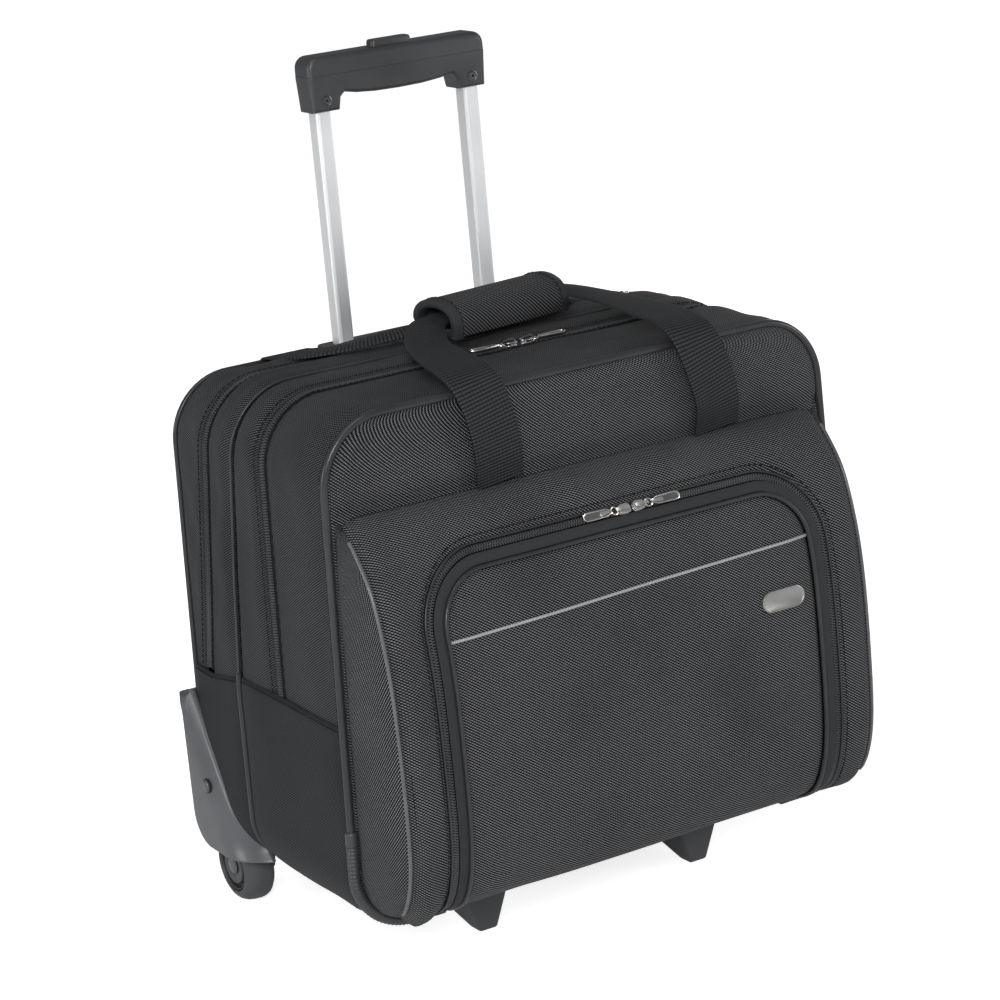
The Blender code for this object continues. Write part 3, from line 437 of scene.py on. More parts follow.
def bevelled(thing, width, segments=3, angle=35):
    thing.modifiers.new("weld", "WELD").merge_threshold = 0.00002
    modifier = thing.modifiers.new("soft_edges", "BEVEL")
    modifier.width = width
    modifier.segments = segments
    modifier.limit_method = "ANGLE"
    modifier.angle_limit = math.radians(angle)
    modifier.harden_normals = True
    return thing


# ---- how pieces follow the bodies ----

COVER_HINGE = 0.0930
UNDER_COVER = "under_cover"
FOLDS = {
    "cover_fold": ("root", "lid", (0, at(COVER_HINGE), 0.2000), (0, at(COVER_HINGE - 0.0499), 0.2464)),
    "flap_fold": ("lid", "flap", (0, 0, 0.0500), (0, 0, 0.0900)),
    "front_loop": ("lid", "front_handle", (0, at(0.012), 0.43), (0, at(0.100), 0.43)),
    "rear_loop": ("root", "rear_handle", (0, at(0.240), 0.42), (0, at(0.175), 0.42)),
}


def attach(thing, body, slot, *nodes):
    """Let thing ride on a body; for one of the FOLDS or under the cover, its placement is only baked in.
    slot is not used. It stands for the CAD nodes that are named, which it hides."""
    if body == UNDER_COVER:
        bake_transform(thing)
    elif body in FOLDS:
        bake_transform(thing)
    else:
        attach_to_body(thing, body)
    if nodes:
        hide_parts(*nodes)
    return thing


# ---- the case's outline ----

FLAT_BOTTOM = HALF - BOTTOM_RADIUS
FLAT_TOP = HALF - TOP_RADIUS
BOTTOM_ARC = math.pi / 2 * BOTTOM_RADIUS
TOP_ARC = math.pi / 2 * TOP_RADIUS
RISE = TOP - TOP_RADIUS - BOTTOM - BOTTOM_RADIUS
LOOP = 2 * (FLAT_BOTTOM + BOTTOM_ARC + RISE + TOP_ARC + FLAT_TOP)


def loop_point(s):
    """(x, z, outwards x, outwards z) on the outline, s metres clockwise from the middle of the bottom."""
    s %= LOOP
    if s > LOOP / 2:
        x, z, nx, nz = loop_point(LOOP - s)
        return -x, z, -nx, nz
    if s < FLAT_BOTTOM:
        return -s, BOTTOM, 0, -1
    s -= FLAT_BOTTOM
    if s < BOTTOM_ARC:
        sine, cosine = math.sin(s / BOTTOM_RADIUS), math.cos(s / BOTTOM_RADIUS)
        return -FLAT_BOTTOM - BOTTOM_RADIUS * sine, BOTTOM + BOTTOM_RADIUS * (1 - cosine), -sine, -cosine
    s -= BOTTOM_ARC
    if s < RISE:
        return -HALF, BOTTOM + BOTTOM_RADIUS + s, -1, 0
    s -= RISE
    if s < TOP_ARC:
        sine, cosine = math.sin(s / TOP_RADIUS), math.cos(s / TOP_RADIUS)
        return -FLAT_TOP - TOP_RADIUS * cosine, TOP - TOP_RADIUS * (1 - sine), -cosine, sine
    return -FLAT_TOP + s - TOP_ARC, TOP, 0, 1


def loop_at_height(z):
    """How far round the outline its left side reaches a height."""
    return FLAT_BOTTOM + BOTTOM_ARC + z - BOTTOM - BOTTOM_RADIUS


UP = loop_at_height(PATCH_TOP)
UPPER = loop_at_height(PATCH_TOP - 0.016), LOOP - loop_at_height(PATCH_TOP - 0.016)


def panel_half(z):
    """Half the width of the case's front at a height, before it narrows upwards."""
    if z < BOTTOM + BOTTOM_RADIUS:
        return FLAT_BOTTOM + math.sqrt(max(BOTTOM_RADIUS ** 2 - (BOTTOM + BOTTOM_RADIUS - z) ** 2, 0))
    if z > TOP - TOP_RADIUS:
        return FLAT_TOP + math.sqrt(max(TOP_RADIUS ** 2 - (z - TOP + TOP_RADIUS) ** 2, 0))
    return HALF


def narrowed(z):
    return 1 - TAPER * (z - MIDDLE) / HALF


def case_half(z):
    """Half the case's real width at a height."""
    return panel_half(z) * narrowed(z)


def shaped(x, z, depth):
    """The case narrows upwards, and its top drops and its sides draw in towards the rear."""
    back = clamp((depth - REAR_START) / (REAR_DEPTH - REAR_START))
    high = clamp((z - PATCH_TOP) / (TOP - PATCH_TOP))
    return Vector((x * narrowed(z) * (1 - REAR_NARROWING * back), at(depth), z - REAR_DROP * back * high))


def wall(s, depth, out):
    """A point out metres outside the case's wall."""
    x, z, nx, nz = loop_point(s)
    return shaped(x + nx * out, z + nz * out, depth)


def seam_depth(table, s):
    """A seam's depth at s, from its table of (height, depth) rows or from its one depth."""
    return table_at(table, loop_point(s)[1]) if isinstance(table, tuple) else table


def shifted(table, shift):
    return tuple((z, depth + shift) for z, depth in table)


def outwards_of_case(place):
    return Vector((place.x, 0, (place.z - MIDDLE) * 1.05))


# ---- things that run along a seam ----

class Rail:
    """A line on a surface, sampled as places with their along, across and outwards directions."""

    def __init__(self, places, outwards, closed=False):
        self.places = [Vector(p) for p in places]
        self.closed = closed
        self.length = [0.0]
        count = len(self.places)
        for before, after in zip(self.places, self.places[1:]):
            self.length.append(self.length[-1] + (after - before).length)
        self.along, self.across, self.out = [], [], []
        for i, place in enumerate(self.places):
            before = self.places[i - 1] if i or closed else place
            after = self.places[(i + 1) % count] if closed or i < count - 1 else place
            along = (after - before).normalized()
            normal = Vector(outwards[i] if isinstance(outwards, list) else outwards)
            across = normal.cross(along).normalized()
            self.along.append(along)
            self.across.append(across)
            self.out.append(along.cross(across).normalized())

    def at(self, i, across, out):
        return self.places[i] + self.across[i] * across + self.out[i] * out

    def whole(self):
        return self.length[-1] + ((self.places[0] - self.places[-1]).length if self.closed else 0)

    def frame(self, distance):
        """(place, along, across, out) at a distance along the line."""
        i = min(max(bisect.bisect_right(self.length, distance) - 1, 0), len(self.length) - 2)
        share = clamp((distance - self.length[i]) / max(self.length[i + 1] - self.length[i], 1e-9))
        return tuple(a[i].lerp(a[i + 1], share) for a in (self.places, self.along, self.across, self.out))


def case_rail(table, line, out, shift=0.0, closed=False):
    """A rail over the case's wall, at the depth of a seam, through the places round the outline in line."""
    places = [wall(s, seam_depth(table, s) + shift, out) for s in line]
    normals = [Vector((nx, 0, nz)) for x, z, nx, nz in map(loop_point, line)]
    return Rail(places, normals, closed)


def ring(radius, sides):
    return [(radius * math.cos(math.tau * i / sides), radius * math.sin(math.tau * i / sides))
            for i in range(sides)]


def sweep(rail, section, scale=None):
    """(points, faces, coords) of a closed section carried along a rail."""
    girth = [0.0]
    for (a, b), (c, d) in zip(section, section[1:]):
        girth.append(girth[-1] + math.hypot(c - a, d - b))
    points, coords = [], []
    for i, length in enumerate(rail.length):
        size = scale(length, rail.whole()) if scale else 1.0
        points += [rail.at(i, across * size, out * size) for across, out in section]
        coords += [(length, around) for around in girth]
    count, sides = len(rail.places), len(section)
    return points, face_grid(count, sides, True, True) if rail.closed else capped(count, sides), coords


def swept(name, rail, section, material, scale=None, angle=50):
    points, faces, coords = sweep(rail, section, scale)
    return closed_piece(name, points, faces, material, coords, angle)


STITCH_LENGTH, STITCH_GAP, STITCH_HALF, STITCH_INSET = 0.0030, 0.0014, 0.0004, 0.002


def stitches(name, rows):
    """One piece holding rows of small raised stitches: rows are (rail, across, out)."""
    parts = []
    for rail, across, out in rows:
        distance = STITCH_INSET
        while distance + STITCH_LENGTH < rail.whole() - STITCH_INSET:
            place, along, side, normal = rail.frame(distance + STITCH_LENGTH / 2)
            base = place + side * across + normal * out
            corners = []
            for level, shrink in ((-0.0003, 1.0), (0.00012, 1.0), (0.00034, 0.55)):
                half = STITCH_LENGTH / 2 * (0.6 + 0.4 * shrink)
                corners += [base + along * a * half + side * b * STITCH_HALF * shrink + normal * level
                            for a, b in ((-1, -1), (1, -1), (1, 1), (-1, 1))]
            parts.append((corners, capped(3, 4)))
            distance += STITCH_LENGTH + STITCH_GAP
    return piece(name, *join_meshes(parts), THREAD, None, 30)


COIL_PITCH, COIL_HEIGHT = 0.0021, 0.00115
TOOTH = ((-0.28, 0.0), (-0.28, 0.55), (-0.12, 1.0), (0.12, 1.0), (0.28, 0.55), (0.28, 0.0))


def coil_half(name, rail, side, out=-0.0004, reach=0.0036):
    """One half of a coil zip: a row of small rounded teeth on one side of the rail."""
    parts = []
    distance = COIL_PITCH * (0.5 if side > 0 else 1.0)
    while distance < rail.whole() - COIL_PITCH:
        place, along, across, normal = rail.frame(distance)
        corners = []
        for step, tall in ((-0.00025, 0.55), (0.0006, 1.0), (reach * 0.72, 1.0), (reach, 0.35)):
            corners += [place + along * a * COIL_PITCH * 1.05 + across * side * step
                        + normal * (out + b * tall * COIL_HEIGHT) for a, b in TOOTH]
        parts.append((corners, capped(4, len(TOOTH))))
        distance += COIL_PITCH
    return closed_piece(name, *join_meshes(parts), COIL, None, 40)


def curve_through(points, steps):
    """A smooth curve through points, which may be flat ones."""
    places = [Vector(p).to_3d() for p in points]
    ends = [places[0] * 2 - places[1]] + places + [places[-1] * 2 - places[-2]]
    found = []
    for a, b, c, d in zip(ends, ends[1:], ends[2:], ends[3:]):
        for i in range(steps):
            t = i / steps
            found.append(0.5 * (2 * b + (c - a) * t + (2 * a - 5 * b + 4 * c - d) * t * t
                                + (3 * b - a - 3 * c + d) * t ** 3))
    return found + [places[-1].copy()]


# ---- stage ----

# The camera fitted to the photograph: where it is and its own directions.
CAMERA_PLACE = Vector((-1.11706, -1.91758, 0.92815))
CAMERA_RIGHT = Vector((0.85162582, -0.51674878, -0.0877734))
CAMERA_UP = Vector((0.2138014, 0.18957973, 0.95830501))
CAMERA_AHEAD = Vector((0.47856288, 0.83488336, -0.2719326))

# Soft lights: name, place, height of the point they face, size and power.
LIGHTS = (
    ("key_light", (-1.5, -2.3, 1.5), 0.25, 0.7, 46.0),
    ("side_light", (-2.6, 0.2, 0.8), 0.25, 0.7, 19.0),
    ("right_light", (2.2, -1.5, 0.8), 0.25, 0.7, 16.0),
    ("top_light", (-0.6, -0.7, 2.5), 0.3, 1.0, 11.0),
    ("rim_light", (1.9, 1.4, 0.9), 0.4, 0.8, 5.0),
)


def make_stage():
    """Camera, white surroundings that light the case dimly, soft lights and a pale floor."""
    scene = bpy.context.scene
    camera = bpy.data.objects.new("camera", bpy.data.cameras.new("camera"))
    camera.data.lens, camera.data.sensor_width, camera.data.clip_start = 111.40, 36.0, 0.05
    turn = Matrix((CAMERA_RIGHT, CAMERA_UP, -CAMERA_AHEAD)).transposed().to_4x4()
    camera.matrix_world = Matrix.Translation(CAMERA_PLACE) @ turn
    scene.collection.objects.link(camera)
    scene.camera = camera
    scene.view_settings.view_transform = "Standard"

    world = bpy.data.worlds.new("studio")
    world.use_nodes = True
    tree = world.node_tree
    shown, light = tree.nodes["Background"], tree.nodes.new("ShaderNodeBackground")
    for node, colour, strength in ((shown, (1, 1, 1, 1), 1.0), (light, (0.96, 0.98, 1.0, 1), 0.22)):
        node.inputs["Color"].default_value = colour
        node.inputs["Strength"].default_value = strength
    path, pick = tree.nodes.new("ShaderNodeLightPath"), tree.nodes.new("ShaderNodeMixShader")
    for number, source in enumerate((path.outputs["Is Camera Ray"], light.outputs[0], shown.outputs[0])):
        tree.links.new(source, pick.inputs[number])
    tree.links.new(pick.outputs[0], tree.nodes["World Output"].inputs[0])
    scene.world = world

    for name, place, aim, size, power in LIGHTS:
        lamp = bpy.data.lights.new(name, "AREA")
        lamp.size = size
        lamp.energy = power
        thing = bpy.data.objects.new(name, lamp)
        thing.location = place
        thing.rotation_euler = (Vector((0, 0, aim)) - Vector(place)).to_track_quat("-Z", "Y").to_euler()
        scene.collection.objects.link(thing)

    nodes = Nodes("studio_floor", 0.9, specular=0.1)
    nodes.finish(nodes.scaled(nodes.noise(3.0, 2.0), 0.0, 1.0), (0.90, 0.90, 0.90), (0.92, 0.92, 0.92))
    seen = nodes.scaled(nodes.add("LightPath", {})["Is Camera Ray"], 0.10, 0.80)
    nodes.put(nodes.shader, {"Emission Color": (1, 1, 1, 1), "Emission Strength": seen})
    half, height = 9, -0.0002
    corners = [(-half, -half, height), (half, -half, height), (half, half, height), (-half, half, height)]
    floor = piece("floor", corners, [(0, 1, 2, 3)], nodes.material)


# ---- case walls ----

def over_a_tube(corners, coords):
    """Whether a patch of the case's top lies where a handle tube comes through, under the tube collar."""
    across = [abs(p.x) for p in corners]
    deep = [p.y for p in corners]
    return (min(p.z for p in corners) > TUBE_HOLE_ABOVE
            and max(across) > TUBE_HOLE_X[0] and min(across) < TUBE_HOLE_X[1]
            and max(deep) > at(TUBE_HOLE_DEPTH[0]) and min(deep) < at(TUBE_HOLE_DEPTH[1]))


def strip_panel(name, front, rear, crown, seed, edge, folds):
    """A fabric strip round the upper walls between two seams. edge is how far inside each seam it stops,
    crown is how far it stands off them, and folds are depths on top that get a row of their own."""
    start, end = UPPER
    shares = [0.5 - 0.5 * math.cos(math.pi * (0.06 + 0.88 * i / 14)) for i in range(15)]
    shares = [0.0] + [(v - shares[0]) / (shares[-1] - shares[0]) for v in shares][1:-1] + [1.0]
    low, high = seam_depth(front, LOOP / 2) + edge[0], seam_depth(rear, LOOP / 2) - edge[1]
    for fold in folds:
        share = (fold - low) / (high - low)
        shares[min(range(1, len(shares) - 1), key=lambda i: abs(shares[i] - share))] = share

    def place(share, s):
        seam, far_seam = seam_depth(front, s), seam_depth(rear, s)
        low, high = seam + edge[0], far_seam - edge[1]
        depth = mix(low, high, share)
        near = min(share, 1 - share) * (high - low)
        calm = smooth((s - start) / 0.075) * smooth((end - s) / 0.075)
        arch = crown * (0.25 + 0.75 * calm) * (1 - (2 * share - 1) ** 4) * smooth(near / 0.010)
        pucker = math.sin(math.tau * s / 0.0085 + 2.3 * math.sin(s * 31 + seed)) * math.exp(-near / 0.006)
        waves = (0.2 + 0.8 * calm) * ripple(s, depth * 1.4, seed, 0.085) * smooth(near / 0.02)
        out = arch - 0.0012 * (1 - smooth(near / 0.0035)) + 0.0003 * pucker + 0.0017 * waves
        return wall(s, depth, out), (s, seam + share * (far_seam - seam))

    columns = spread(start, end, 0.0035)
    return sheet(name, shares, columns, place, FINE_TWILL, outwards_of_case, hole=over_a_tube)


def make_upper_walls():
    before_main, after_main, before_rear, after_rear = (
        shifted(zip_line, side * TAPE_HALF) for zip_line in (MAIN_ZIP, REAR_ZIP) for side in (-1, 1))
    for part, front, rear, crown, seed, edge, body in (
        ("lid", FRONT_EDGE, before_main, 0.0030, 3, (0.0016, 0.0), "cover_fold"),
        ("main", after_main, DIVIDER, 0.0038, 5, (0.0, 0.0012), "root"),
        ("middle", DIVIDER, before_rear, 0.0035, 8, (0.0012, 0.0), "root"),
        ("rear", after_rear, BACK_EDGE, 0.0020, 9, (0.0, 0.0012), "root"),
    ):
        folds = TUBE_FOLDS if part == "rear" else ()
        panel = strip_panel(part + "_side_fabric", front, rear, crown, seed, edge, folds)
        attach(panel, body, "shell_fabric", part + "_gusset")


def patch_place(s, depth, out):
    """A point of the lower fabric, whose upper edge steps down towards the rear."""
    hinge = loop_at_height(PATCH_HINGE)
    if abs(s) > hinge:
        top = loop_at_height(PATCH_TOP - PATCH_DROP * clamp((depth - 0.150) / 0.06))
        s = math.copysign(hinge + (abs(s) - hinge) * (top - hinge) / (UP - hinge), s)
    return wall(s, depth, out)


def over_a_wheel(corners, coords):
    s = abs(sum(s for s, depth in coords) / 4)
    return WELL_START < s < WELL_END and sum(p.y for p in corners) / 4 > at(WELL_DEPTH)


def lower_patch(name, front, rear, rows, seed, hole=None):
    """The plainer fabric of the lower walls and the bottom, between two seams."""
    right = spread(0, WELL_START, 0.005) + spread(WELL_START, WELL_END, 0.0035)[1:]
    right += spread(WELL_END, UP, 0.005)[1:]

    def place(share, s):
        low, high = seam_depth(front, s) + 0.0006, seam_depth(rear, s) - 0.0010
        depth = mix(low, high, share)
        near = min(share, 1 - share) * (high - low)
        side_edge = UP - abs(s)
        out = 0.0030 + 0.0016 * smooth(near / 0.03) * smooth(side_edge / 0.05)
        out += 0.0009 * ripple(s, depth, seed, 0.11) * smooth(near / 0.025)
        out -= 0.0026 * (1 - smooth(near / 0.006)) + 0.0008 * (1 - smooth(side_edge / 0.0022))
        out *= smooth((loop_point(s)[1] - BOTTOM) / 0.01) * 0.8 + 0.2
        return patch_place(s, depth, out), (s, depth)

    columns = [-v for v in reversed(right[1:])] + right
    return sheet(name, rows, columns, place, PATCH, outwards_of_case, hole=hole)


def make_lower_walls():
    rows = [0.0, 0.03, 0.08, 0.16, 0.25, 0.34, 0.43, 0.52, 0.61, 0.70, 0.79, 0.88, 0.95, 0.985, 1.0]
    front = lower_patch("front_patch", FRONT_EDGE, DIVIDER, rows, 12)
    attach(front, UNDER_COVER, "patch_fabric", "lower_gusset")
    gap = (WELL_DEPTH - DIVIDER_LOW) / (REAR_DEPTH - DIVIDER_LOW)
    rows = [0.0, 0.04, 0.12] + [mix(gap, 1, v) for v in (0, 0.15, 0.3, 0.45, 0.6, 0.75, 0.88, 0.96, 1)]
    attach(lower_patch("rear_patch", DIVIDER, BACK_EDGE, rows, 14, over_a_wheel), "root", "patch_fabric")
    for name, side in SIDES:
        parts = (("front", 0.0030, 0.1560, UNDER_COVER), ("rear", 0.1620, 0.2440, "root"))
        for part, low, high, body in parts:
            places = [patch_place(-side * (UP - 0.0030), depth, 0.0030) for depth in spread(low, high, 0.004)]
            hem = stitches(f"patch_hem_stitching_{part}_{name}", [(Rail(places, (side, 0, 0)), 0.0, 0.0004)])
            attach(hem, body, "patch_fabric")
        corners = ((WELL_X, BOTTOM + 0.0006), (0.2065, 0.0600), (0.2118, WELL_TOP), (WELL_X, WELL_TOP))
        points = [(side * x, at(depth), z) for depth in (WELL_DEPTH, REAR_DEPTH - 0.001) for x, z in corners]
        faces = [(0, 1, 2, 3), (0, 3, 7, 4), (3, 2, 6, 7)]
        liner = piece("wheel_well_" + name, points, faces, PATCH, [(x, y + z) for x, y, z in points])
        attach(thicken(liner, Vector((side, 0, -1)), 0.0012), "root", "patch_fabric")


def make_divider_piping():
    """The seam's trim: a slim shiny edge above the lower fabric, a thicker one round and under the case."""
    for name, start, end, radius, nodes in (
        ("divider_edge_trim", UPPER[0] + 0.010, UPPER[1] - 0.010, 0.0012, ()),
        ("divider_piping_trim", -UP - 0.001, UP + 0.001, 0.0023, ("divider_piping",)),
    ):
        rail = case_rail(DIVIDER, spread(start, end, 0.004), 0.0012)
        attach(swept(name, rail, ring(radius, 10), PIPING), "root", "piping", *nodes)


def make_back_panel():
    """The rear wall: gently crowned fabric with two padded tunnels over the trolley tubes."""
    def place(z, u):
        half = panel_half(z)
        x = u * (half - 0.0008)
        near = min(half - abs(x), z - BOTTOM, TOP - z)
        tunnel = sum(math.exp(-((x - c) / 0.014) ** 4) for c in (-TUBE_X, TUBE_X))
        groove = sum(math.exp(-((x - c) / 0.0025) ** 2) for c in TUNNEL_SEAMS)
        out = 0.0022 * smooth(near / 0.03) + 0.0018 * tunnel * smooth(near / 0.02)
        out -= 0.0012 * groove * smooth(near / 0.02) + 0.0010 * (1 - smooth(near / 0.004))
        out += 0.0008 * ripple(x, z, 21, 0.12) * smooth(near / 0.03)
        return shaped(x, z, REAR_DEPTH) + Vector((0, out, 0)), (u * HALF, z)

    columns, heights = spread(-1, 1, 0.02), spread(BOTTOM, TOP, 0.008)
    panel = sheet("back_panel_fabric", heights, columns, place, BALLISTIC, REARWARDS)
    attach(panel, "root", "shell_fabric", "back_panel")
    rows = []
    for x in TUNNEL_SEAMS:
        line = [place(z, x / HALF)[0] + Vector((0, 0.0002, 0)) for z in spread(0.062, 0.400, 0.006)]
        rows += [(Rail(line, REARWARDS), across, 0.0002) for across in (-0.0028, 0.0028)]
    attach(stitches("back_stitching", rows), "root", "shell_fabric")
    around = [wall(s, REAR_DEPTH - 0.0004, 0.0002) for s in spread(0, LOOP, 0.006)[:-1]]
    trim = swept("back_edge_piping", Rail(around, REARWARDS, closed=True), ring(0.0021, 10), PIPING)
    attach(trim, "root", "piping")


def make_case_zips():
    """Tape, coil and edge stitching of the zips that run over the case, one half at a time."""
    line = spread(UPPER[0] + 0.006, UPPER[1] - 0.006, 0.004)
    for name, table, front_body in (("main_zip", MAIN_ZIP, "cover_fold"), ("rear_zip", REAR_ZIP, "root")):
        rail = case_rail(table, line, 0.0002)
        for side, end, body in ((-1, "front", front_body), (1, "rear", "root")):
            tape = [(side * 0.0002, -0.0012), (side * 0.0066, -0.0016), (side * 0.0066, -0.0008),
                    (side * 0.0005, -0.0006)]
            tape_name = f"{name}_tape_{'root' if body == 'root' else 'lid'}_{end}"
            attach(swept(tape_name, rail, tape, TAPE), body, "webbing")
            attach(coil_half(f"{name}_coil_{end}", rail, side), body, "webbing")
            fabric = case_rail(table, line, 0.0013, side * (TAPE_HALF + 0.0030))
            attach(stitches(f"{name}_stitching_{end}", [(fabric, 0.0, 0.0006)]), body, "shell_fabric")


# ---- front panel and piping ----

def make_front_panel():
    heights = [BOTTOM + 0.0004 + v for v in (0, 0.002, 0.006)] + spread(BOTTOM + 0.012, TOP - 0.010, 0.0055)
    heights += [TOP - 0.0065, TOP - 0.0035, TOP - 0.0015, TOP - 0.0004]

    def place(z, u):
        x = u * (panel_half(z) - 0.0004)
        near = min(panel_half(z) - abs(x), TOP - z)
        out = 0.0042 * smooth((z - POCKET_SEAM) / 0.014) * smooth(near / 0.013)
        out -= 0.0018 * (1 - smooth(near / 0.0032)) + 0.0030 * math.exp(-((z - POCKET_SEAM) / 0.0025) ** 2)
        out += 0.0007 * ripple(x, z, 31, 0.08) * smooth(near / 0.02)
        return shaped(x, z, 0) - Vector((0, out, 0)), (u * HALF, z)

    panel = sheet("front_panel_fabric", heights, spread(-1, 1, 0.018), place, BALLISTIC, FORWARDS)
    attach(panel, "lid", "shell_fabric", "front_panel")
    rail = case_rail(PIPING_DEPTH, spread(0, LOOP, 0.004)[:-1], 0.0006, closed=True)
    attach(swept("front_piping_trim", rail, ring(0.0029, 12), PIPING), "lid", "piping", "front_piping")
    rail = case_rail(0.0052, spread(UP, LOOP - UP, 0.005), 0.0010)
    attach(stitches("front_seam_stitching", [(rail, 0.0, 0.0008)]), "cover_fold", "shell_fabric")


def make_corner_sleeves():
    """Ribbed sleeves over the piping at the bottom corners."""
    low, high = FLAT_BOTTOM - 0.0250, loop_at_height(0.1235)
    ribs_low, ribs_high = low + 0.0080, high - 0.0080

    def girth(along, whole):
        s = low + along
        inside = smooth((s - ribs_low) / 0.001) * smooth((ribs_high - s) / 0.001)
        ridge = 0.5 + 0.5 * math.cos(math.tau * (s - ribs_low) / 0.0029)
        round_end = min(1.0, 0.80 + 0.2 * smooth(min(along, whole - along) / 0.0016))
        return round_end * (1.0 - inside * 0.17 * (1 - ridge ** 0.6))

    for name, side in SIDES:
        rail = case_rail(PIPING_DEPTH, [-side * s for s in spread(low, high, 0.0007)], 0.0006)
        sleeve = swept("corner_sleeve_" + name, rail, ring(0.0047, 14), SLEEVE, girth, 70)
        attach(sleeve, "lid", "dark_plastic", "corner_protector_" + name)


# ---- front pocket ----

def pocket_profile():
    """Arrays from the bottom seam up: height, how far forward, outwards forward and up, length of cloth."""
    curve = curve_through(reversed(POCKET_CURVE), 10)
    length, rows = 0.0, []
    for i, place in enumerate(curve):
        before, after = curve[max(i - 1, 0)], curve[min(i + 1, len(curve) - 1)]
        along = (after - before).normalized()
        if i:
            length += (place - curve[i - 1]).length
        rows.append((place.y, place.x, along.y, -along.x, length))
    return np.array(rows).T


PROFILE = pocket_profile()


def profile_at(z, row):
    return float(np.interp(z, PROFILE[0], PROFILE[row]))


def cloth_length(z):
    return profile_at(z, 4)


def pocket_half(z):
    return min(POCKET_HALF, case_half(z) - 0.0026)


def pocket_normal(z):
    return Vector((0, -profile_at(z, 2), profile_at(z, 3))).normalized()


def pocket_place(x, z, out=0.0):
    """A point on the pocket's front, rolled back a little towards its side edges."""
    roll = 0.0040 * (1 - smooth((pocket_half(z) - abs(x)) / 0.013))
    return Vector((x, at(-profile_at(z, 1)), z)) + pocket_normal(z) * (out - roll)


def mouth_line(e, low, step):
    """(x, z, turn) round the flap, e metres outside its outline: up its left, over, down its right."""
    half, radius, top = FLAP_HALF + e, FLAP_RADIUS + e, FLAP_TOP + e
    corner = math.atan2(POCKET_TOP - top + radius, POCKET_HALF - half + radius)
    left = [(-half, z, 0.0) for z in spread(low, top - radius, step)]
    for a in spread(0, corner, step / radius)[1:] + spread(corner, math.pi / 2, step / radius)[1:-1]:
        left.append((-half + radius * (1 - math.cos(a)), top - radius * (1 - math.sin(a)), a))
    over = [(x, top, math.pi / 2) for x in spread(-half + radius, half - radius, step)]
    return left + over + [(-x, z, a) for x, z, a in reversed(left)]


def mouth_rail(e, out, low=POCKET_LOW, step=0.004):
    line = mouth_line(e, low, step)
    return Rail([pocket_place(x, z, out) for x, z, a in line], [pocket_normal(z) for x, z, a in line])


def border_edge(x, z, turn):
    """Where the pocket's outer edge lies, straight out from a point of the mouth."""
    if turn == 0.0:
        return math.copysign(pocket_half(z), x), z
    if turn == math.pi / 2:
        return x, POCKET_TOP
    centre_x, centre_z = FLAP_HALF - FLAP_RADIUS, FLAP_TOP - FLAP_RADIUS
    reach = min((POCKET_HALF - centre_x) / math.cos(turn), (POCKET_TOP - centre_z) / math.sin(turn))
    return math.copysign(centre_x + reach * math.cos(turn), x), centre_z + reach * math.sin(turn)


def make_pocket_border():
    shares = [0.0, 0.03, 0.07, 0.13, 0.22, 0.32, 0.43, 0.54, 0.65, 0.76, 0.86, 0.93, 0.97, 1.0]

    def place(share, mouth):
        x, z, turn = mouth
        edge_x, edge_z = border_edge(x, z, turn)
        px, pz = mix(x, edge_x, share), mix(z, edge_z, share)
        wide = math.hypot(edge_x - x, edge_z - z)
        inner, outer = share * wide, (1 - share) * wide
        out = 0.0030 * smooth(inner / 0.014) * smooth(outer / 0.010) - 0.0014 * (1 - smooth(inner / 0.0022))
        out += 0.0022 * ripple(px, pz, 41, 0.070) * smooth(inner / 0.012) * smooth(outer / 0.012)
        out += 0.0004 * math.sin(px / 0.0021 + 1.7 * math.sin(px * 40)) * math.exp(-(POCKET_TOP - pz) / 0.007)
        out -= 0.0012 * (1 - smooth(outer / 0.003))
        return pocket_place(px, pz, out), (px, cloth_length(pz))

    line = mouth_line(0.0080, POCKET_LOW, 0.004)
    border = sheet("pocket_border_fabric", shares, line, place, BALLISTIC, FORWARDS_UP)
    attach(border, "lid", "shell_fabric", "pocket_shell")


def make_pocket_sides():
    shares = [0.0, 0.05, 0.12, 0.22, 0.34, 0.46, 0.58, 0.70, 0.81, 0.90, 0.96, 1.0]
    edge = spread(0.0640, 0.3380, 0.005)
    normals = [pocket_normal(z) for z in edge]
    for name, side in SIDES:
        def place(share, z, side=side):
            front = pocket_place(side * pocket_half(z), z)
            back = Vector((side * (case_half(z) - 0.0042), at(0.0006), z))
            wide = abs(front.y - back.y)
            out = 0.0050 * math.sin(math.pi * share) ** 0.8 * smooth(wide / 0.04)
            out += 0.0014 * ripple(z, share * 0.06, 50 + side, 0.07) * math.sin(math.pi * share)
            out -= 0.0008 * (1 - smooth(min(share, 1 - share) * wide / 0.003))
            return front.lerp(back, share) + Vector((side * out, 0, 0)), (z, share * 0.06)

        sideways = Vector((side, 0, 0))
        heights = spread(POCKET_LOW, POCKET_TOP, 0.005)
        gusset = sheet("pocket_side_" + name, shares, heights, place, BALLISTIC, sideways)
        attach(gusset, "lid", "shell_fabric")
        places = [pocket_place(side * (pocket_half(z) + 0.0006), z, -0.0002) for z in edge]
        rail = Rail(places, [(normal + sideways).normalized() for normal in normals])
        trim = swept("pocket_edge_trim_" + name, rail, ring(0.0014, 10), EDGE_TRIM)
        attach(trim, "lid", "piping", "pocket_piping_" + name)
        rail = Rail([pocket_place(side * (pocket_half(z) - 0.0050), z, -0.0004) for z in edge], normals)
        attach(stitches("pocket_edge_stitching_" + name, [(rail, 0.0, 0.0010)]), "lid", "shell_fabric")


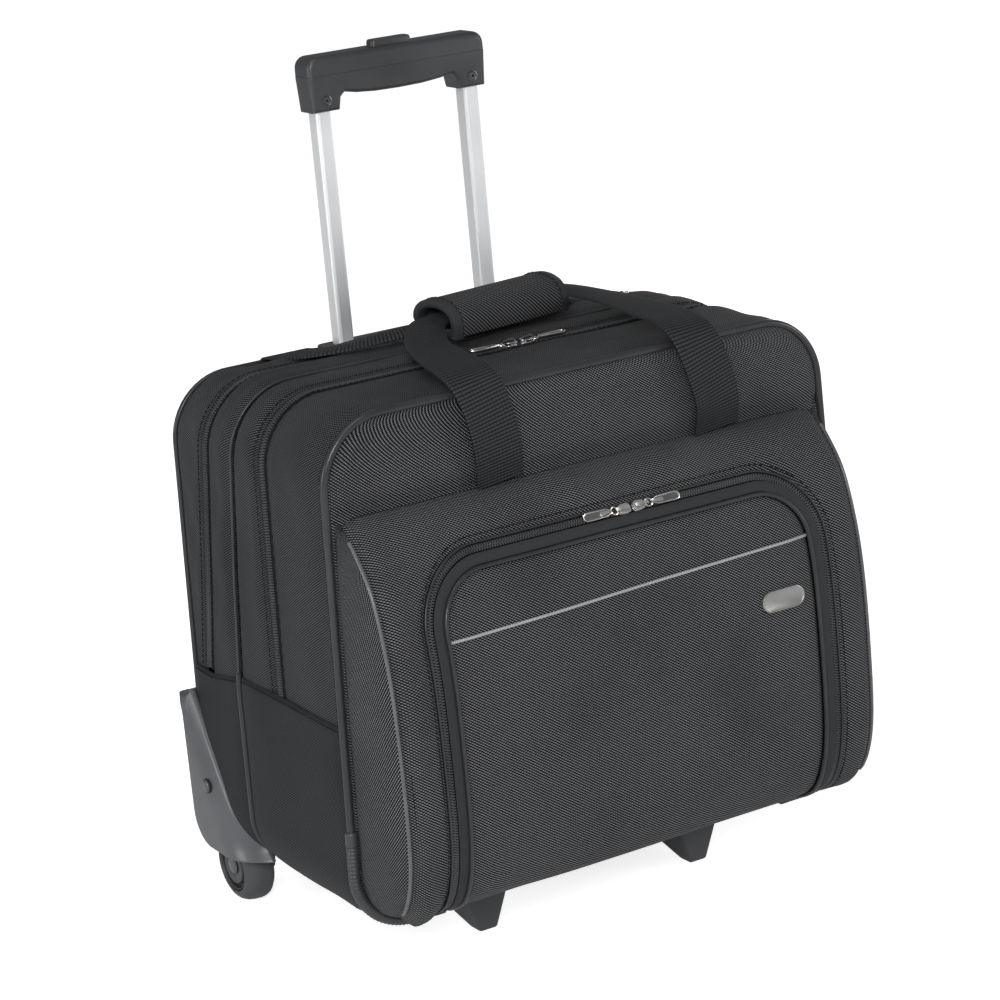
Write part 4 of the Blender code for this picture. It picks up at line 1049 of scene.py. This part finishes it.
def flap_half(z):
    """Half the width of the flap's fabric at a height, inside its piping."""
    half, radius, top = (v - FLAP_INSET for v in (FLAP_HALF, FLAP_RADIUS, FLAP_TOP))
    if z <= top - radius:
        return half
    return half - radius + math.sqrt(max(radius ** 2 - (z - top + radius) ** 2, 0.0))


def cord_height(x):
    return mix(0.2600, 0.2680, (x + 0.157) / 0.314)


def flap_lift(x, z):
    """How far the flap's fabric stands off the pocket's smooth surface."""
    near = min(flap_half(z) - abs(x), FLAP_TOP - FLAP_INSET - z)
    low = smooth((z - POCKET_LOW) / 0.02)
    out = (0.0026 * smooth(near / 0.020) + 0.0012 * ripple(x, z, 61, 0.13) * smooth(near / 0.03)) * low
    out -= 0.0010 * (1 - smooth(near / 0.0022))
    return out - 0.0008 * math.exp(-((z - cord_height(x)) / 0.0022) ** 2)


def make_flap():
    def place(z, u):
        x = u * flap_half(z)
        return pocket_place(x, z, flap_lift(x, z)), (x, cloth_length(z))

    top = FLAP_TOP - FLAP_INSET
    heights = [POCKET_LOW, 0.0505, 0.0525] + spread(0.056, top - 0.006, 0.006)
    heights += [top - 0.004, top - 0.0022, top - 0.0009, top - 0.0002]
    flap = sheet("flap_fabric", heights, spread(-1, 1, 0.022), place, BALLISTIC, FORWARDS_UP, 0.0016)
    attach(flap, "flap_fold", "shell_fabric", "front_flap")
    trim = swept("flap_piping_trim", mouth_rail(PIPING_IN, 0.0011), ring(0.0017, 12), PIPING)
    attach(trim, "flap_fold", "piping", "flap_piping")
    strip = [(-0.0038, -0.0010), (0.0036, -0.0010), (0.0040, 0.0004), (0.0020, 0.0009), (-0.0020, 0.0009),
             (-0.0040, 0.0002)]
    attach(swept("flap_binding", mouth_rail(-0.0020, 0.0004), strip, BINDING), "flap_fold", "webbing")
    line = [(x, cord_height(x)) for x in spread(-0.1530, 0.1530, 0.006)]
    rail = Rail([pocket_place(x, z, flap_lift(x, z) + 0.0005) for x, z in line], pocket_normal(0.264))
    attach(swept("reflective_cord_trim", rail, ring(0.00115, 10), CORD), "flap_fold", "piping")

    rail = mouth_rail(COIL_OUT, -0.0009, 0.0530, 0.003)
    for side, reach, name, body in ((-1, -0.0026, "flap", "flap_fold"), (1, 0.0034, "border", "lid")):
        tape = [(side * 0.0002, -0.0008), (reach, -0.0008), (reach, 0.0), (side * 0.0004, 0.0001)]
        attach(swept("pocket_zip_tape_" + name, rail, tape, TAPE), body, "webbing")
        attach(coil_half("pocket_zip_coil_" + name, rail, side, 0.0001, 0.0026), body, "webbing")
    edge = swept("pocket_mouth_edge", mouth_rail(0.0080, 0.0003), ring(0.0010, 8), PIPING)
    attach(edge, "lid", "piping")
    seam = stitches("pocket_mouth_stitching", [(mouth_rail(0.0118, 0.0014), 0.0, 0.0002)])
    attach(seam, "lid", "shell_fabric")


def make_badge():
    """A plain metal pill with a raised rim."""
    height, middle, half, radius = 0.2280, 0.1215, 0.0110, 0.0080
    rightwards, outwards = Vector((1, 0, 0)), pocket_normal(height)
    up = outwards.cross(rightwards)
    base = pocket_place(middle, height, flap_lift(middle, height) + 0.0002)
    turns = spread(-math.pi / 2, math.pi / 2, 0.2)
    outline = [(half + radius * math.cos(a), radius * math.sin(a)) for a in turns]
    outline += [(-x, -z) for x, z in outline]
    levels = ((-0.0002, -0.0012), (0.0, 0.0006), (-0.0003, 0.0014), (-0.0010, 0.0017), (-0.0016, 0.0013),
              (-0.0020, 0.0011))
    points = []
    for grow, level in levels:
        for x, z in outline:
            away = Vector((x - clamp(x, -half, half), 0, z)).normalized() * grow
            points.append(base + rightwards * (x + away.x) + up * (z + away.z) + outwards * level)
    badge = closed_piece("plain_badge", points, capped(len(levels), len(outline)), BADGE, None, 40)
    attach(badge, "flap", "nickel", "badge")


# ---- zip sliders ----

def plate(outline, low, high, edge):
    """A flat plate with softened edges: (points, faces) in its own (along, across, out) axes."""
    centre = Vector((sum(a for a, b in outline), sum(b for a, b in outline))) / len(outline)
    points = []
    for level, shrink in ((low, edge), (low + edge, 0), (high - edge, 0), (high, edge)):
        for corner in outline:
            inner = Vector(corner) - (Vector(corner) - centre).normalized() * shrink
            points.append((inner.x, inner.y, level))
    return points, capped(4, len(outline))


def wire(line, radius):
    """A closed loop of round wire, lying flat in its own axes."""
    return sweep(Rail(line, (0, 0, 1), closed=True), ring(radius, 8))[:2]


def plated(name, parts, origin, axes, material=NICKEL):
    """One closed metal piece of parts that are in their own axes."""
    points, faces = join_meshes(parts)
    points = [origin + axes[0] * p[0] + axes[1] * p[1] + axes[2] * p[2] for p in points]
    return closed_piece(name, points, faces, material, None, 40)


def make_slider(zip_name, name, side, centre, across, outwards):
    """A zip slider with a bridge, and its ring and long tapered pull lying along the zip."""
    axes = Vector((side, 0, 0)), across, outwards
    nose = [(0.0048, 0.0022), (0.0036, 0.0034), (-0.0030, 0.0037), (-0.0046, 0.0020)]
    nose += [(a, -b) for a, b in reversed(nose)]
    tongue = [(0.0044, 0.0011), (0.0044, -0.0011), (0.0078, -0.0011), (0.0082, 0.0), (0.0078, 0.0011)]
    bridge = [(-0.0034, 0, 0.0012), (-0.0032, 0, 0.0022), (-0.0018, 0, 0.0032), (0.0030, 0, 0.0036),
              (0.0060, 0, 0.0033), (0.0075, 0, 0.0022), (0.0077, 0, 0.0004), (0.0077, 0, -0.0014)]
    half, thick = 0.0012, 0.0005
    bar = [(thick, -half), (thick, half), (-thick, half), (-thick, -half)]
    parts = [plate(nose, -0.0018, -0.0008, 0.0003), plate(nose, 0.0004, 0.0014, 0.0003),
             plate(tongue, -0.0018, -0.0010, 0.0002),
             plate([(a * 0.5 - 0.0016, b * 0.5) for a, b in nose], -0.0010, 0.0006, 0.0001),
             sweep(Rail(bridge, (0, 1, 0)), bar)[:2]]
    node = f"{zip_name}_slider_{name}"
    attach(plated(node + "_metal", parts, centre, axes), node, "nickel", node)

    eye = [(0.0086 + 0.0028 * math.cos(a), 0.0029 * math.sin(a), 0.0003 + 0.0003 * math.cos(a))
           for a in spread(0, math.tau, 0.35)[:-1]]
    neck = [(0.0114, 0.0012), (0.0130, 0.0015), (0.0155, 0.0026), (0.0290, 0.0030), (0.0325, 0.0028),
            (0.0342, 0.0018), (0.0346, 0.0)]
    paddle = neck + [(a, -b) for a, b in reversed(neck[:-1])]
    root = [(0.0128, 0.0011), (0.0200, 0.0018), (0.0210, 0.0), (0.0200, -0.0018), (0.0128, -0.0011)]
    parts = [wire(eye, 0.00068), wire([(a, b, 0.0010) for a, b in paddle], 0.00062),
             plate(root, 0.0004, 0.0015, 0.0003)]
    node = f"{zip_name}_pull_{name}"
    attach(plated(node + "_metal", parts, centre, axes), node, "nickel", node)
    recess = [plate(paddle, -0.0002, 0.0009, 0.0002)]
    attach(plated(node + "_recess", recess, centre, axes, NICKEL_DARK), node, "nickel")


def make_sliders():
    height = FLAP_TOP + 0.0045
    normal = pocket_normal(height)
    for name, side in SIDES:
        centre = Vector((0.0100 + side * 0.0060, at(0.0965), TOP + 0.0022))
        make_slider("main", name, side, centre, Vector((0, 1, 0)), Vector((0, 0, 1)))
        centre = pocket_place(0.0135 + side * 0.0060, height, 0.0025)
        make_slider("pocket", name, side, centre, normal.cross(Vector((1, 0, 0))), normal)


# ---- straps and handles ----

STRAP_HALF = 0.019


def strap(name, rows, body, *nodes):
    """Webbing along rows of (x, depth, z, normal x, y, z, share of the full width)."""
    path = curve_through([(x, at(depth), z) for x, depth, z, *rest in rows], 9)
    normals = [v.normalized() for v in curve_through([row[3:6] for row in rows], 9)]
    widths = [v.x for v in curve_through([(row[6], 0) for row in rows], 9)]
    rail = Rail(path, normals)
    offsets = [STRAP_HALF * v for v in (-1, -0.97, -0.8, -0.5, -0.2, 0.2, 0.5, 0.8, 0.97, 1)]
    section = [(v, 1) for v in offsets] + [(v, -1) for v in reversed(offsets)]
    points, coords = [], []
    for i, (wide, length) in enumerate(zip(widths, rail.length)):
        for v, level in section:
            dish = (1 - wide) * 0.010 * (1 - (v / STRAP_HALF) ** 2)
            points.append(rail.at(i, v * wide, level * (0.0007 if abs(v) > 0.0187 else 0.0011) + dish))
            coords.append((length, v))
    webbing = closed_piece(name, points, capped(len(path), len(section)), WEBBING, coords)
    attach(webbing, body, "webbing", *nodes)


def make_straps():
    strap("front_strap_left_webbing", (
        (-0.0730, -0.0030, 0.3490, 0, -1, -0.25, 1), (-0.0762, -0.0105, 0.3700, 0, -1, 0.0, 1),
        (-0.0798, -0.0125, 0.3920, 0, -1, 0.10, 1), (-0.0840, -0.0100, 0.4120, 0, -1, 0.35, 1),
        (-0.0868, -0.0015, 0.4255, -0.1, -0.7, 0.9, 1), (-0.0868, 0.0160, 0.4315, -0.1, -0.15, 1, 1),
        (-0.0825, 0.0450, 0.4330, -0.05, -0.05, 1, 0.97), (-0.0720, 0.0850, 0.4345, 0, -0.1, 1, 0.86),
        (-0.0550, 0.1150, 0.4390, 0, -0.2, 1, 0.72), (-0.0360, 0.1290, 0.4400, 0, 0, 1, 0.62),
        (-0.0100, 0.1310, 0.4400, 0, 0, 1, 0.60),
    ), "front_loop", "front_strap_left", "front_handle_webbing")
    strap("front_strap_right_webbing", (
        (0.1127, -0.0030, 0.3490, 0, -1, -0.25, 1), (0.1098, -0.0120, 0.3700, 0, -1, 0.0, 1),
        (0.1040, -0.0145, 0.3920, 0, -1, 0.10, 1), (0.0985, -0.0120, 0.4120, 0, -1, 0.35, 1),
        (0.0960, -0.0030, 0.4260, 0, -0.7, 0.9, 1), (0.0955, 0.0160, 0.4325, 0, -0.15, 1, 1),
        (0.0960, 0.0500, 0.4340, 0, 0, 1, 0.98), (0.0930, 0.1000, 0.4365, 0.1, -0.05, 1, 0.92),
        (0.0780, 0.1340, 0.4400, 0.1, -0.15, 1, 0.76), (0.0580, 0.1410, 0.4410, 0, 0, 1, 0.62),
        (0.0300, 0.1385, 0.4400, 0, 0, 1, 0.60),
    ), "front_loop", "front_strap_right")
    seam = ((REAR_STRAP_X, 0.2535, 0.3450, 0, 1, 0, 1), (REAR_STRAP_X, 0.2535, 0.3880, 0, 1, 0.1, 1),
            (REAR_STRAP_X, 0.2480, 0.4075, 0, 0.7, 0.7, 1), (0.1085, 0.2300, 0.4122, 0, 0.08, 1, 1))
    strap("rear_handle_strap", (
        *((-x, *rest) for x, *rest in seam),
        (-0.1050, 0.2050, 0.4158, 0, 0.05, 1, 0.95), (-0.0880, 0.1800, 0.4215, 0, 0, 1, 0.80),
        (-0.0500, 0.1600, 0.4272, 0, 0, 1, 0.60), (0.0120, 0.1560, 0.4282, 0, 0, 1, 0.55),
        (0.0720, 0.1640, 0.4272, 0, 0, 1, 0.60), (0.0960, 0.1820, 0.4222, 0, 0, 1, 0.80),
        (0.1060, 0.2050, 0.4158, 0, 0.05, 1, 0.95), *reversed(seam),
    ), "rear_loop", "rear_handle_webbing")
    rows = []
    for x in (-REAR_STRAP_X, REAR_STRAP_X):
        left, right, y = x - 0.015, x + 0.015, at(0.2538)
        lines = [[(edge, y, z) for z in spread(0.350, 0.386, 0.004)] for edge in (left, right)]
        lines += [[(v, y, z) for v in spread(left, right, 0.004)] for z in (0.352, 0.372)]
        rows += [(Rail(line, REARWARDS), 0.0, 0.0009) for line in lines]
    attach(stitches("rear_strap_stitching", rows), "root", "webbing")


# ---- padded wrap round the handles ----

WRAP_START, WRAP_END = Vector((-0.0370, at(0.1288), 0)), Vector((0.0610, at(0.1420), 0))
WRAP_MIDDLE, WRAP_LENGTH = (WRAP_START + WRAP_END) / 2, (WRAP_END - WRAP_START).length
WRAP_ALONG = (WRAP_END - WRAP_START).normalized()
WRAP_ACROSS = Vector((-WRAP_ALONG.y, WRAP_ALONG.x, 0))
WRAP_CURVE = curve_through((
    (-0.0222, 0.4290), (-0.0236, 0.4360), (-0.0226, 0.4430), (-0.0175, 0.4490), (-0.0080, 0.4522),
    (0.0030, 0.4525), (0.0130, 0.4500), (0.0200, 0.4450), (0.0228, 0.4385), (0.0220, 0.4345)), 5)


def wrap_place(v, t, out=0.0):
    """A point of the folded pad and its outwards direction: v metres along it from its middle, and t round
    its fold, from 0 at the front edge to 1 at the rear one."""
    place = clamp(t) * (len(WRAP_CURVE) - 1)
    i = min(int(place), len(WRAP_CURVE) - 2)
    point = WRAP_CURVE[i].lerp(WRAP_CURVE[i + 1], place - i)
    along = (WRAP_CURVE[i + 1] - WRAP_CURVE[i]).normalized()
    normal = WRAP_ACROSS * -along.y + Vector((0, 0, along.x))
    middle = WRAP_MIDDLE + WRAP_ACROSS * point.x + Vector((0, 0, point.y))
    return middle + WRAP_ALONG * v + normal * out, normal


def wrap_reach(t):
    """Half the pad's length at t, with rounded corners at the rear edge."""
    return WRAP_LENGTH / 2 + 0.0030 - 0.012 * (1 - math.sqrt(max(1 - clamp((t - 0.80) / 0.20) ** 2, 0.0)))


def make_wrap():
    rows, columns, half_thick = 30, 44, 0.0030
    points, coords = [], []
    for level in (half_thick, -half_thick):
        for t in (i / (rows - 1) for i in range(rows)):
            for v in ((-1 + 2 * j / (columns - 1)) * wrap_reach(t) for j in range(columns)):
                points.append(wrap_place(v, t, level)[0])
                coords.append((v, t * 0.080))
    count = rows * columns
    faces = face_grid(rows, columns) + [tuple(reversed(f)) for f in face_grid(rows, columns, start=count)]
    rim = list(range(columns)) + [r * columns + columns - 1 for r in range(1, rows)]
    rim += [count - 1 - j for j in range(1, columns)] + [r * columns for r in range(rows - 2, 0, -1)]
    faces += [(b, a, a + count, b + count) for a, b in zip(rim, rim[1:] + rim[:1])]
    pad = closed_piece("handle_wrap_pad", points, faces, WRAP_TWILL, coords, 180)
    pad.vertex_groups.new(name="held").add(rim + [i + count for i in rim], 1.0, "REPLACE")
    puff_up(pad, "held", 2.2)
    smooth_over = pad.modifiers.new("soft", "SUBSURF")
    smooth_over.levels = smooth_over.render_levels = 1
    attach(pad, "front_handle", "shell_fabric", "handle_wrap")

    steps = ([(-1, t) for t in spread(0.0, 1.0, 0.03)] + [(u, 1.0) for u in spread(-1, 1, 0.06)][1:-1]
             + [(1, t) for t in spread(1.0, 0.0, 0.03)])
    line, normals = zip(*(wrap_place(u * (wrap_reach(t) - 0.0004), t) for u, t in steps))
    rail = Rail(line, [normal.normalized() for normal in normals])
    inwards = 1 if rail.across[3].dot(WRAP_ALONG) > 0 else -1
    section = [(-0.0016, -0.0033), (0.0052, -0.0037), (0.0058, 0.0), (0.0052, 0.0037), (-0.0016, 0.0033),
               (-0.0028, 0.0018), (-0.0030, 0.0), (-0.0028, -0.0018)]
    binding = swept("handle_wrap_binding", rail, [(a * inwards, b) for a, b in section], BINDING)
    attach(binding, "front_handle", "shell_fabric")
    seam = stitches("handle_wrap_stitching", [(rail, inwards * 0.0044, out) for out in (0.0037, -0.0043)])
    attach(seam, "front_handle", "shell_fabric")


def puff_up(pad, held, pressure):
    """Fill a closed pad: its cloth bulges a little under pressure, held along its seam."""
    scene, most = bpy.context.scene, 0.0026
    rest = [v.co.copy() for v in pad.data.vertices]
    modifier = pad.modifiers.new("filling", "CLOTH")
    settings = modifier.settings
    settings.vertex_group_mass = held
    settings.use_pressure = True
    settings.uniform_pressure_force = pressure
    settings.quality = 5
    settings.mass = 0.25
    settings.tension_stiffness = settings.compression_stiffness = 22
    settings.bending_stiffness = 1.2
    settings.effector_weights.gravity = 0.0
    modifier.collision_settings.use_collision = False
    modifier.point_cache.frame_start = 1
    modifier.point_cache.frame_end = 20
    for number in range(1, 21):
        scene.frame_set(number)
    graph = bpy.context.evaluated_depsgraph_get()
    shape = [v.co.copy() for v in pad.evaluated_get(graph).data.vertices]
    pad.modifiers.remove(modifier)
    scene.frame_set(1)
    for vertex, before, after in zip(pad.data.vertices, rest, shape):
        move = after - before
        vertex.co = before + (move * (most / move.length) if move.length > most else move)


# ---- trolley grip ----

def inset_outline(points, amount):
    """A closed outline moved inwards by amount. The points run anticlockwise."""
    found = []
    for i, place in enumerate(points):
        first = (Vector(place) - Vector(points[i - 1])).normalized()
        second = (Vector(points[(i + 1) % len(points)]) - Vector(place)).normalized()
        normal = Vector((-first.y, first.x))
        middle = (normal + Vector((-second.y, second.x))).normalized()
        found.append(Vector(place) + middle * amount / max(middle.dot(normal), 0.4))
    return found


def grip_shell(name, outline, parting, rounding):
    """A moulded half shell: an outline across the grip's depth, rounded but for a crisp parting line."""
    half = GRIP_HALF_DEPTH
    turns = [k / 5 * math.pi / 2 for k in range(5, -1, -1)]
    levels = [(-half + rounding * (1 - math.sin(a)), rounding * (1 - math.cos(a))) for a in turns]
    levels = sorted(levels + [(-y, inset) for y, inset in levels])
    points = []
    for y, inset in levels:
        for moved_in, (x, z) in zip(inset_outline(outline, inset), outline):
            height = parting if abs(z - parting) < 1e-5 else moved_in.y
            points.append((moved_in.x, at(GRIP_DEPTH) + y, height))
    return closed_piece(name, points, capped(len(levels), len(outline)), BLACK, None, 40)


def quarter(cx, cz, radius, start):
    """Seven points of a quarter circle, anticlockwise from start degrees."""
    turns = [math.radians(start + 15 * i) for i in range(7)]
    return [(cx + radius * math.cos(a), cz + radius * math.sin(a)) for a in turns]


def make_grip():
    half, parting, top, radius = 0.0762, 0.6170, 0.6315, 0.0090
    seam = parting + 0.00015
    upper = [(-half, seam), (half, seam)] + quarter(half - radius, top - radius, radius, 0)
    upper += quarter(-half + radius, top - radius, radius, 90)
    cap = grip_shell("grip_upper_moulding", upper, seam, 0.0042)
    attach(cap, "trolley_inner", "dark_plastic", "grip_upper_shell")
    lower = [(0.0, 0.5988), (0.020, 0.5992), (0.036, 0.6006), (0.0465, 0.6026), (0.0500, 0.5995),
             (0.0518, 0.5900), (0.0744, 0.5900), (half, parting)]
    lower += [(-x, z) for x, z in reversed(lower[1:])]
    shell = bevelled(grip_shell("grip_lower_moulding", lower, parting, 0.0036), 0.0007, 2, 40)
    attach(shell, "trolley_inner", "dark_plastic", "grip_lower_shell")

    head = [(0.0036, -0.0002), (0.0040, 0.0003), (0.0036, 0.0004), (0.0031, -0.0001), (0.0027, -0.0001),
            (0.0024, 0.0003), (0.0011, 0.0003), (0.0009, -0.0005), (0.0, -0.0005)]
    for name, side in SIDES:
        place = Vector((side * SCREW_X, at(GRIP_DEPTH - GRIP_HALF_DEPTH) - 0.0002, SCREW_HEIGHT))
        screw = lathe(f"grip_screw_{name}_head", place, FORWARDS, head, DARK_STEEL)
        attach(screw, "trolley_inner", "steel", "grip_screw_" + name)

    half, deep, radius = 0.0170, 0.0056, 0.0030
    outline = [(half - radius + radius * math.cos(a), deep - radius + radius * math.sin(a))
               for a in spread(0, math.pi / 2, 0.4)]
    outline += [(-x, y) for x, y in reversed(outline)]
    outline += [(-x, -y) for x, y in outline]
    levels = ((0.6220, 0), (0.6345, 0), (0.6356, 0.0004), (0.6363, 0.0012), (0.6365, 0.0026))
    points = []
    for z, shrink in levels:
        for x, y in outline:
            away = Vector((x, y)).normalized() * shrink
            dip = 0.0010 * (1 - (x / half) ** 2) if z == levels[-1][0] else 0.0
            points.append((x - away.x, at(GRIP_DEPTH) + y - away.y, z - dip))
    button = closed_piece("release_button_cap", points, capped(len(levels), len(outline)), BLACK, None, 45)
    attach(button, "trolley_button", "dark_plastic", "release_button")


# ---- wheels and other moulded parts ----

TREAD = ((0.0202, -0.0105), (0.0225, -0.0118), (0.0262, -0.0116), (0.0285, -0.0098), (0.0297, -0.0070),
         (0.0300, -0.0035), (0.0297, 0.0010), (0.0289, 0.0048), (0.0273, 0.0080), (0.0250, 0.0103),
         (0.0226, 0.0116), (0.0210, 0.0116), (0.0203, 0.0100), (0.0198, 0.0))
HUB = ((0.0001, -0.0105), (0.0110, -0.0108), (0.0120, -0.0085), (0.0185, -0.0080), (0.0196, -0.0095),
       (0.0196, 0.0095), (0.0192, 0.0106), (0.0186, 0.0104), (0.0181, 0.0066), (0.0153, 0.0066),
       (0.0150, 0.0098), (0.0142, 0.0106), (0.0100, 0.0104), (0.0088, 0.0100), (0.0001, 0.0086))
AXLE_CAP = ((0.0066, 0.0092), (0.0068, 0.0106), (0.0060, 0.0116), (0.0030, 0.0121), (0.0, 0.0122))
RIVET_RIM = ((0.0058, -0.0010), (0.0058, 0.0003), (0.0048, 0.0003), (0.0, 0.0003))
RIVET_HEAD = ((0.0048, -0.0004), (0.0048, 0.0007), (0.0042, 0.0013), (0.0028, 0.0019), (0.0012, 0.0022),
              (0.0, 0.0023))


def make_wheels():
    for name, side in SIDES:
        body, axis = "wheel_" + name, (side, 0, 0)
        centre = Vector((side * WHEEL_X, at(WHEEL_DEPTH), WHEEL_HEIGHT))

        def around(radius, along, a, side=side, centre=centre):
            return centre + Vector((side * along, radius * math.cos(a), radius * math.sin(a)))

        points = [around(radius, along, math.tau * i / 40) for radius, along in TREAD for i in range(40)]
        tyre = closed_piece("tyre_rubber_" + name, points, face_grid(len(TREAD), 40, True, True), RUBBER)
        attach(tyre, body, "tyre", "tyre_" + name)
        hub = lathe(f"wheel_hub_{name}_moulding", centre, axis, HUB, BLACK, 40)
        attach(hub, body, "dark_plastic", "wheel_hub_" + name)
        # Painted shade: near-black arcs laid in the hub's groove stand for its dark slots.
        parts = []
        for middle in (0.5 + math.tau * k / 3 for k in range(3)):
            arc = spread(-0.86, 0.86, 0.12)
            outline = [(0.0180, middle + v) for v in arc] + [(0.0154, middle + v) for v in reversed(arc)]
            slot = [around(radius, level, a) for level in (0.0066, 0.0078) for radius, a in outline]
            parts.append((slot, capped(2, len(outline))))
        slots = closed_piece("wheel_hub_slot_shade_" + name, *join_meshes(parts), SHADOW, None, 40)
        attach(slots, body, "dark_plastic")
        attach(lathe("wheel_axle_cap_" + name, centre, axis, AXLE_CAP, DARK_STEEL), "root", "steel")

        place = Vector((side * RIVET_X, at(RIVET_DEPTH), RIVET_HEIGHT))
        # Painted shade: a near-black ring under the rivet head stands for the dark groove round it.
        rim = lathe("guard_rivet_shade_ring_" + name, place, axis, RIVET_RIM, SHADOW, 28, 30)
        attach(rim, "root", "guard_plastic")
        head = lathe(f"guard_rivet_{name}_head", place, axis, RIVET_HEAD, GUARD, 28, 30)
        attach(head, "root", "guard_plastic", "guard_rivet_" + name)


def guard_line(z):
    """(x, depth) round the right guard at a height: front lip, rising side, rounded corner and back."""
    front = mix(0.1630, 0.2462, clamp((z - 0.0465) / 0.119))
    back = mix(GUARD_BACK, 0.2500, smooth((z - 0.1560) / 0.0112))
    if z < 0.0705:
        back = GUARD_BACK - 0.0240 + math.sqrt(0.0240 ** 2 - (0.0705 - z) ** 2)
    foot = max(case_half(max(z, 0.0560)), 0.2020) + 0.0006
    line = [(foot - 0.0010, front), (foot + 0.0012, front - 0.0002), (foot + 0.0024, front + 0.0004)]
    turn = min(0.009, (back - front) * 0.45)
    for share in (0.03, 0.08, 0.16, 0.26, 0.38, 0.52, 0.68, 0.84, 1.0):
        depth = mix(front + 0.0004, back - turn, share)
        rise = 1 - (1 - clamp((depth - front) / 0.030)) ** 2
        line.append((mix(min(foot + 0.0028, GUARD_CREST - 0.0006), GUARD_CREST, rise), depth))
    for a in spread(0, math.pi / 2, 0.26)[1:]:
        line.append((GUARD_CREST - turn + turn * math.cos(a), back - turn + turn * math.sin(a)))
    return line + [(mix(GUARD_CREST - turn, 0.1905, v), back) for v in (0.3, 0.65, 1.0)]


def make_guards():
    """Domed guards that hug the case's rear bottom corners, with the arch and the leg behind each wheel."""
    heights = [0.0468, 0.0485] + spread(0.0520, 0.1560, 0.0048) + [0.1600, 0.1632, 0.1655, 0.1668]
    leg = ((0.2030, 0.0500), (0.2095, 0.0235), (0.2130, 0.0205))
    leg += tuple((2 * WHEEL_DEPTH - depth, z) for depth, z in reversed(leg))
    for name, side in SIDES:
        points = [(side * x, at(depth), z) for z in heights for x, depth in guard_line(z)]
        faces = face_grid(len(heights), len(points) // len(heights))
        guard = piece("wheel_guard_cover_" + name, points, faces, GUARD, None, 60)
        thicken(guard, Vector((side, 0.4, 0)), 0.0026)
        soften = guard.modifiers.new("soft_edges", "BEVEL")
        soften.width, soften.segments, soften.limit_method = 0.0008, 2, "ANGLE"
        attach(guard, "root", "guard_plastic", "wheel_guard_" + name)

        points = []
        turns = spread(math.radians(24), math.radians(156), 0.14)
        for radius, x in ((0.0370, 0.1800), (0.0370, 0.2205), (0.0342, 0.2205), (0.0342, 0.1800)):
            points += [(side * x, at(WHEEL_DEPTH) + radius * math.cos(a), WHEEL_HEIGHT + radius * math.sin(a))
                       for a in turns]
        starts = [k * len(turns) for k in range(4)]
        faces = face_grid(4, len(turns), True)
        faces += [tuple(starts), tuple(start + len(turns) - 1 for start in reversed(starts))]
        arch = closed_piece("wheel_arch_" + name, points, faces, BLACK, None, 40)
        attach(arch, "root", "guard_plastic")
        points = [(side * x, at(depth), z) for x in (0.1810, 0.1868) for depth, z in leg]
        plain_leg = closed_piece("wheel_leg_" + name, points, capped(2, len(leg)), BLACK, None, 30)
        attach(bevelled(plain_leg, 0.0008, 2), "root", "guard_plastic")


def finish_cad_nodes():
    """Materials and softened edges for the CAD parts that are shown as they are."""
    looks = {
        BLACK: ("base_board", "trolley_bracket", "tube_collar"),
        ALUMINIUM: [f"{kind}_tube_{name}" for kind in ("outer", "middle", "inner") for name, side in SIDES],
        STEEL: ("push_rod_left", "push_rod_right", "wheel_axle_left", "wheel_axle_right"),
        FOOT: ("foot_left", "foot_right"),
        LINING: ("organiser_panel", "divider_panel"),
    }
    for material, names in looks.items():
        for name in names:
            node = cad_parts[name]
            node.data.materials.clear()
            node.data.materials.append(material)
    for name in looks[FOOT]:
        bevelled(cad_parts[name], 0.0016)
    bevelled(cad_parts["tube_collar"], 0.0008, 2)


make_stage()
make_upper_walls()
make_lower_walls()
make_divider_piping()
make_back_panel()
make_case_zips()
make_front_panel()
make_corner_sleeves()
make_pocket_border()
make_pocket_sides()
make_flap()
make_badge()
make_sliders()
make_straps()
make_wrap()
make_grip()
make_wheels()
make_guards()
finish_cad_nodes()
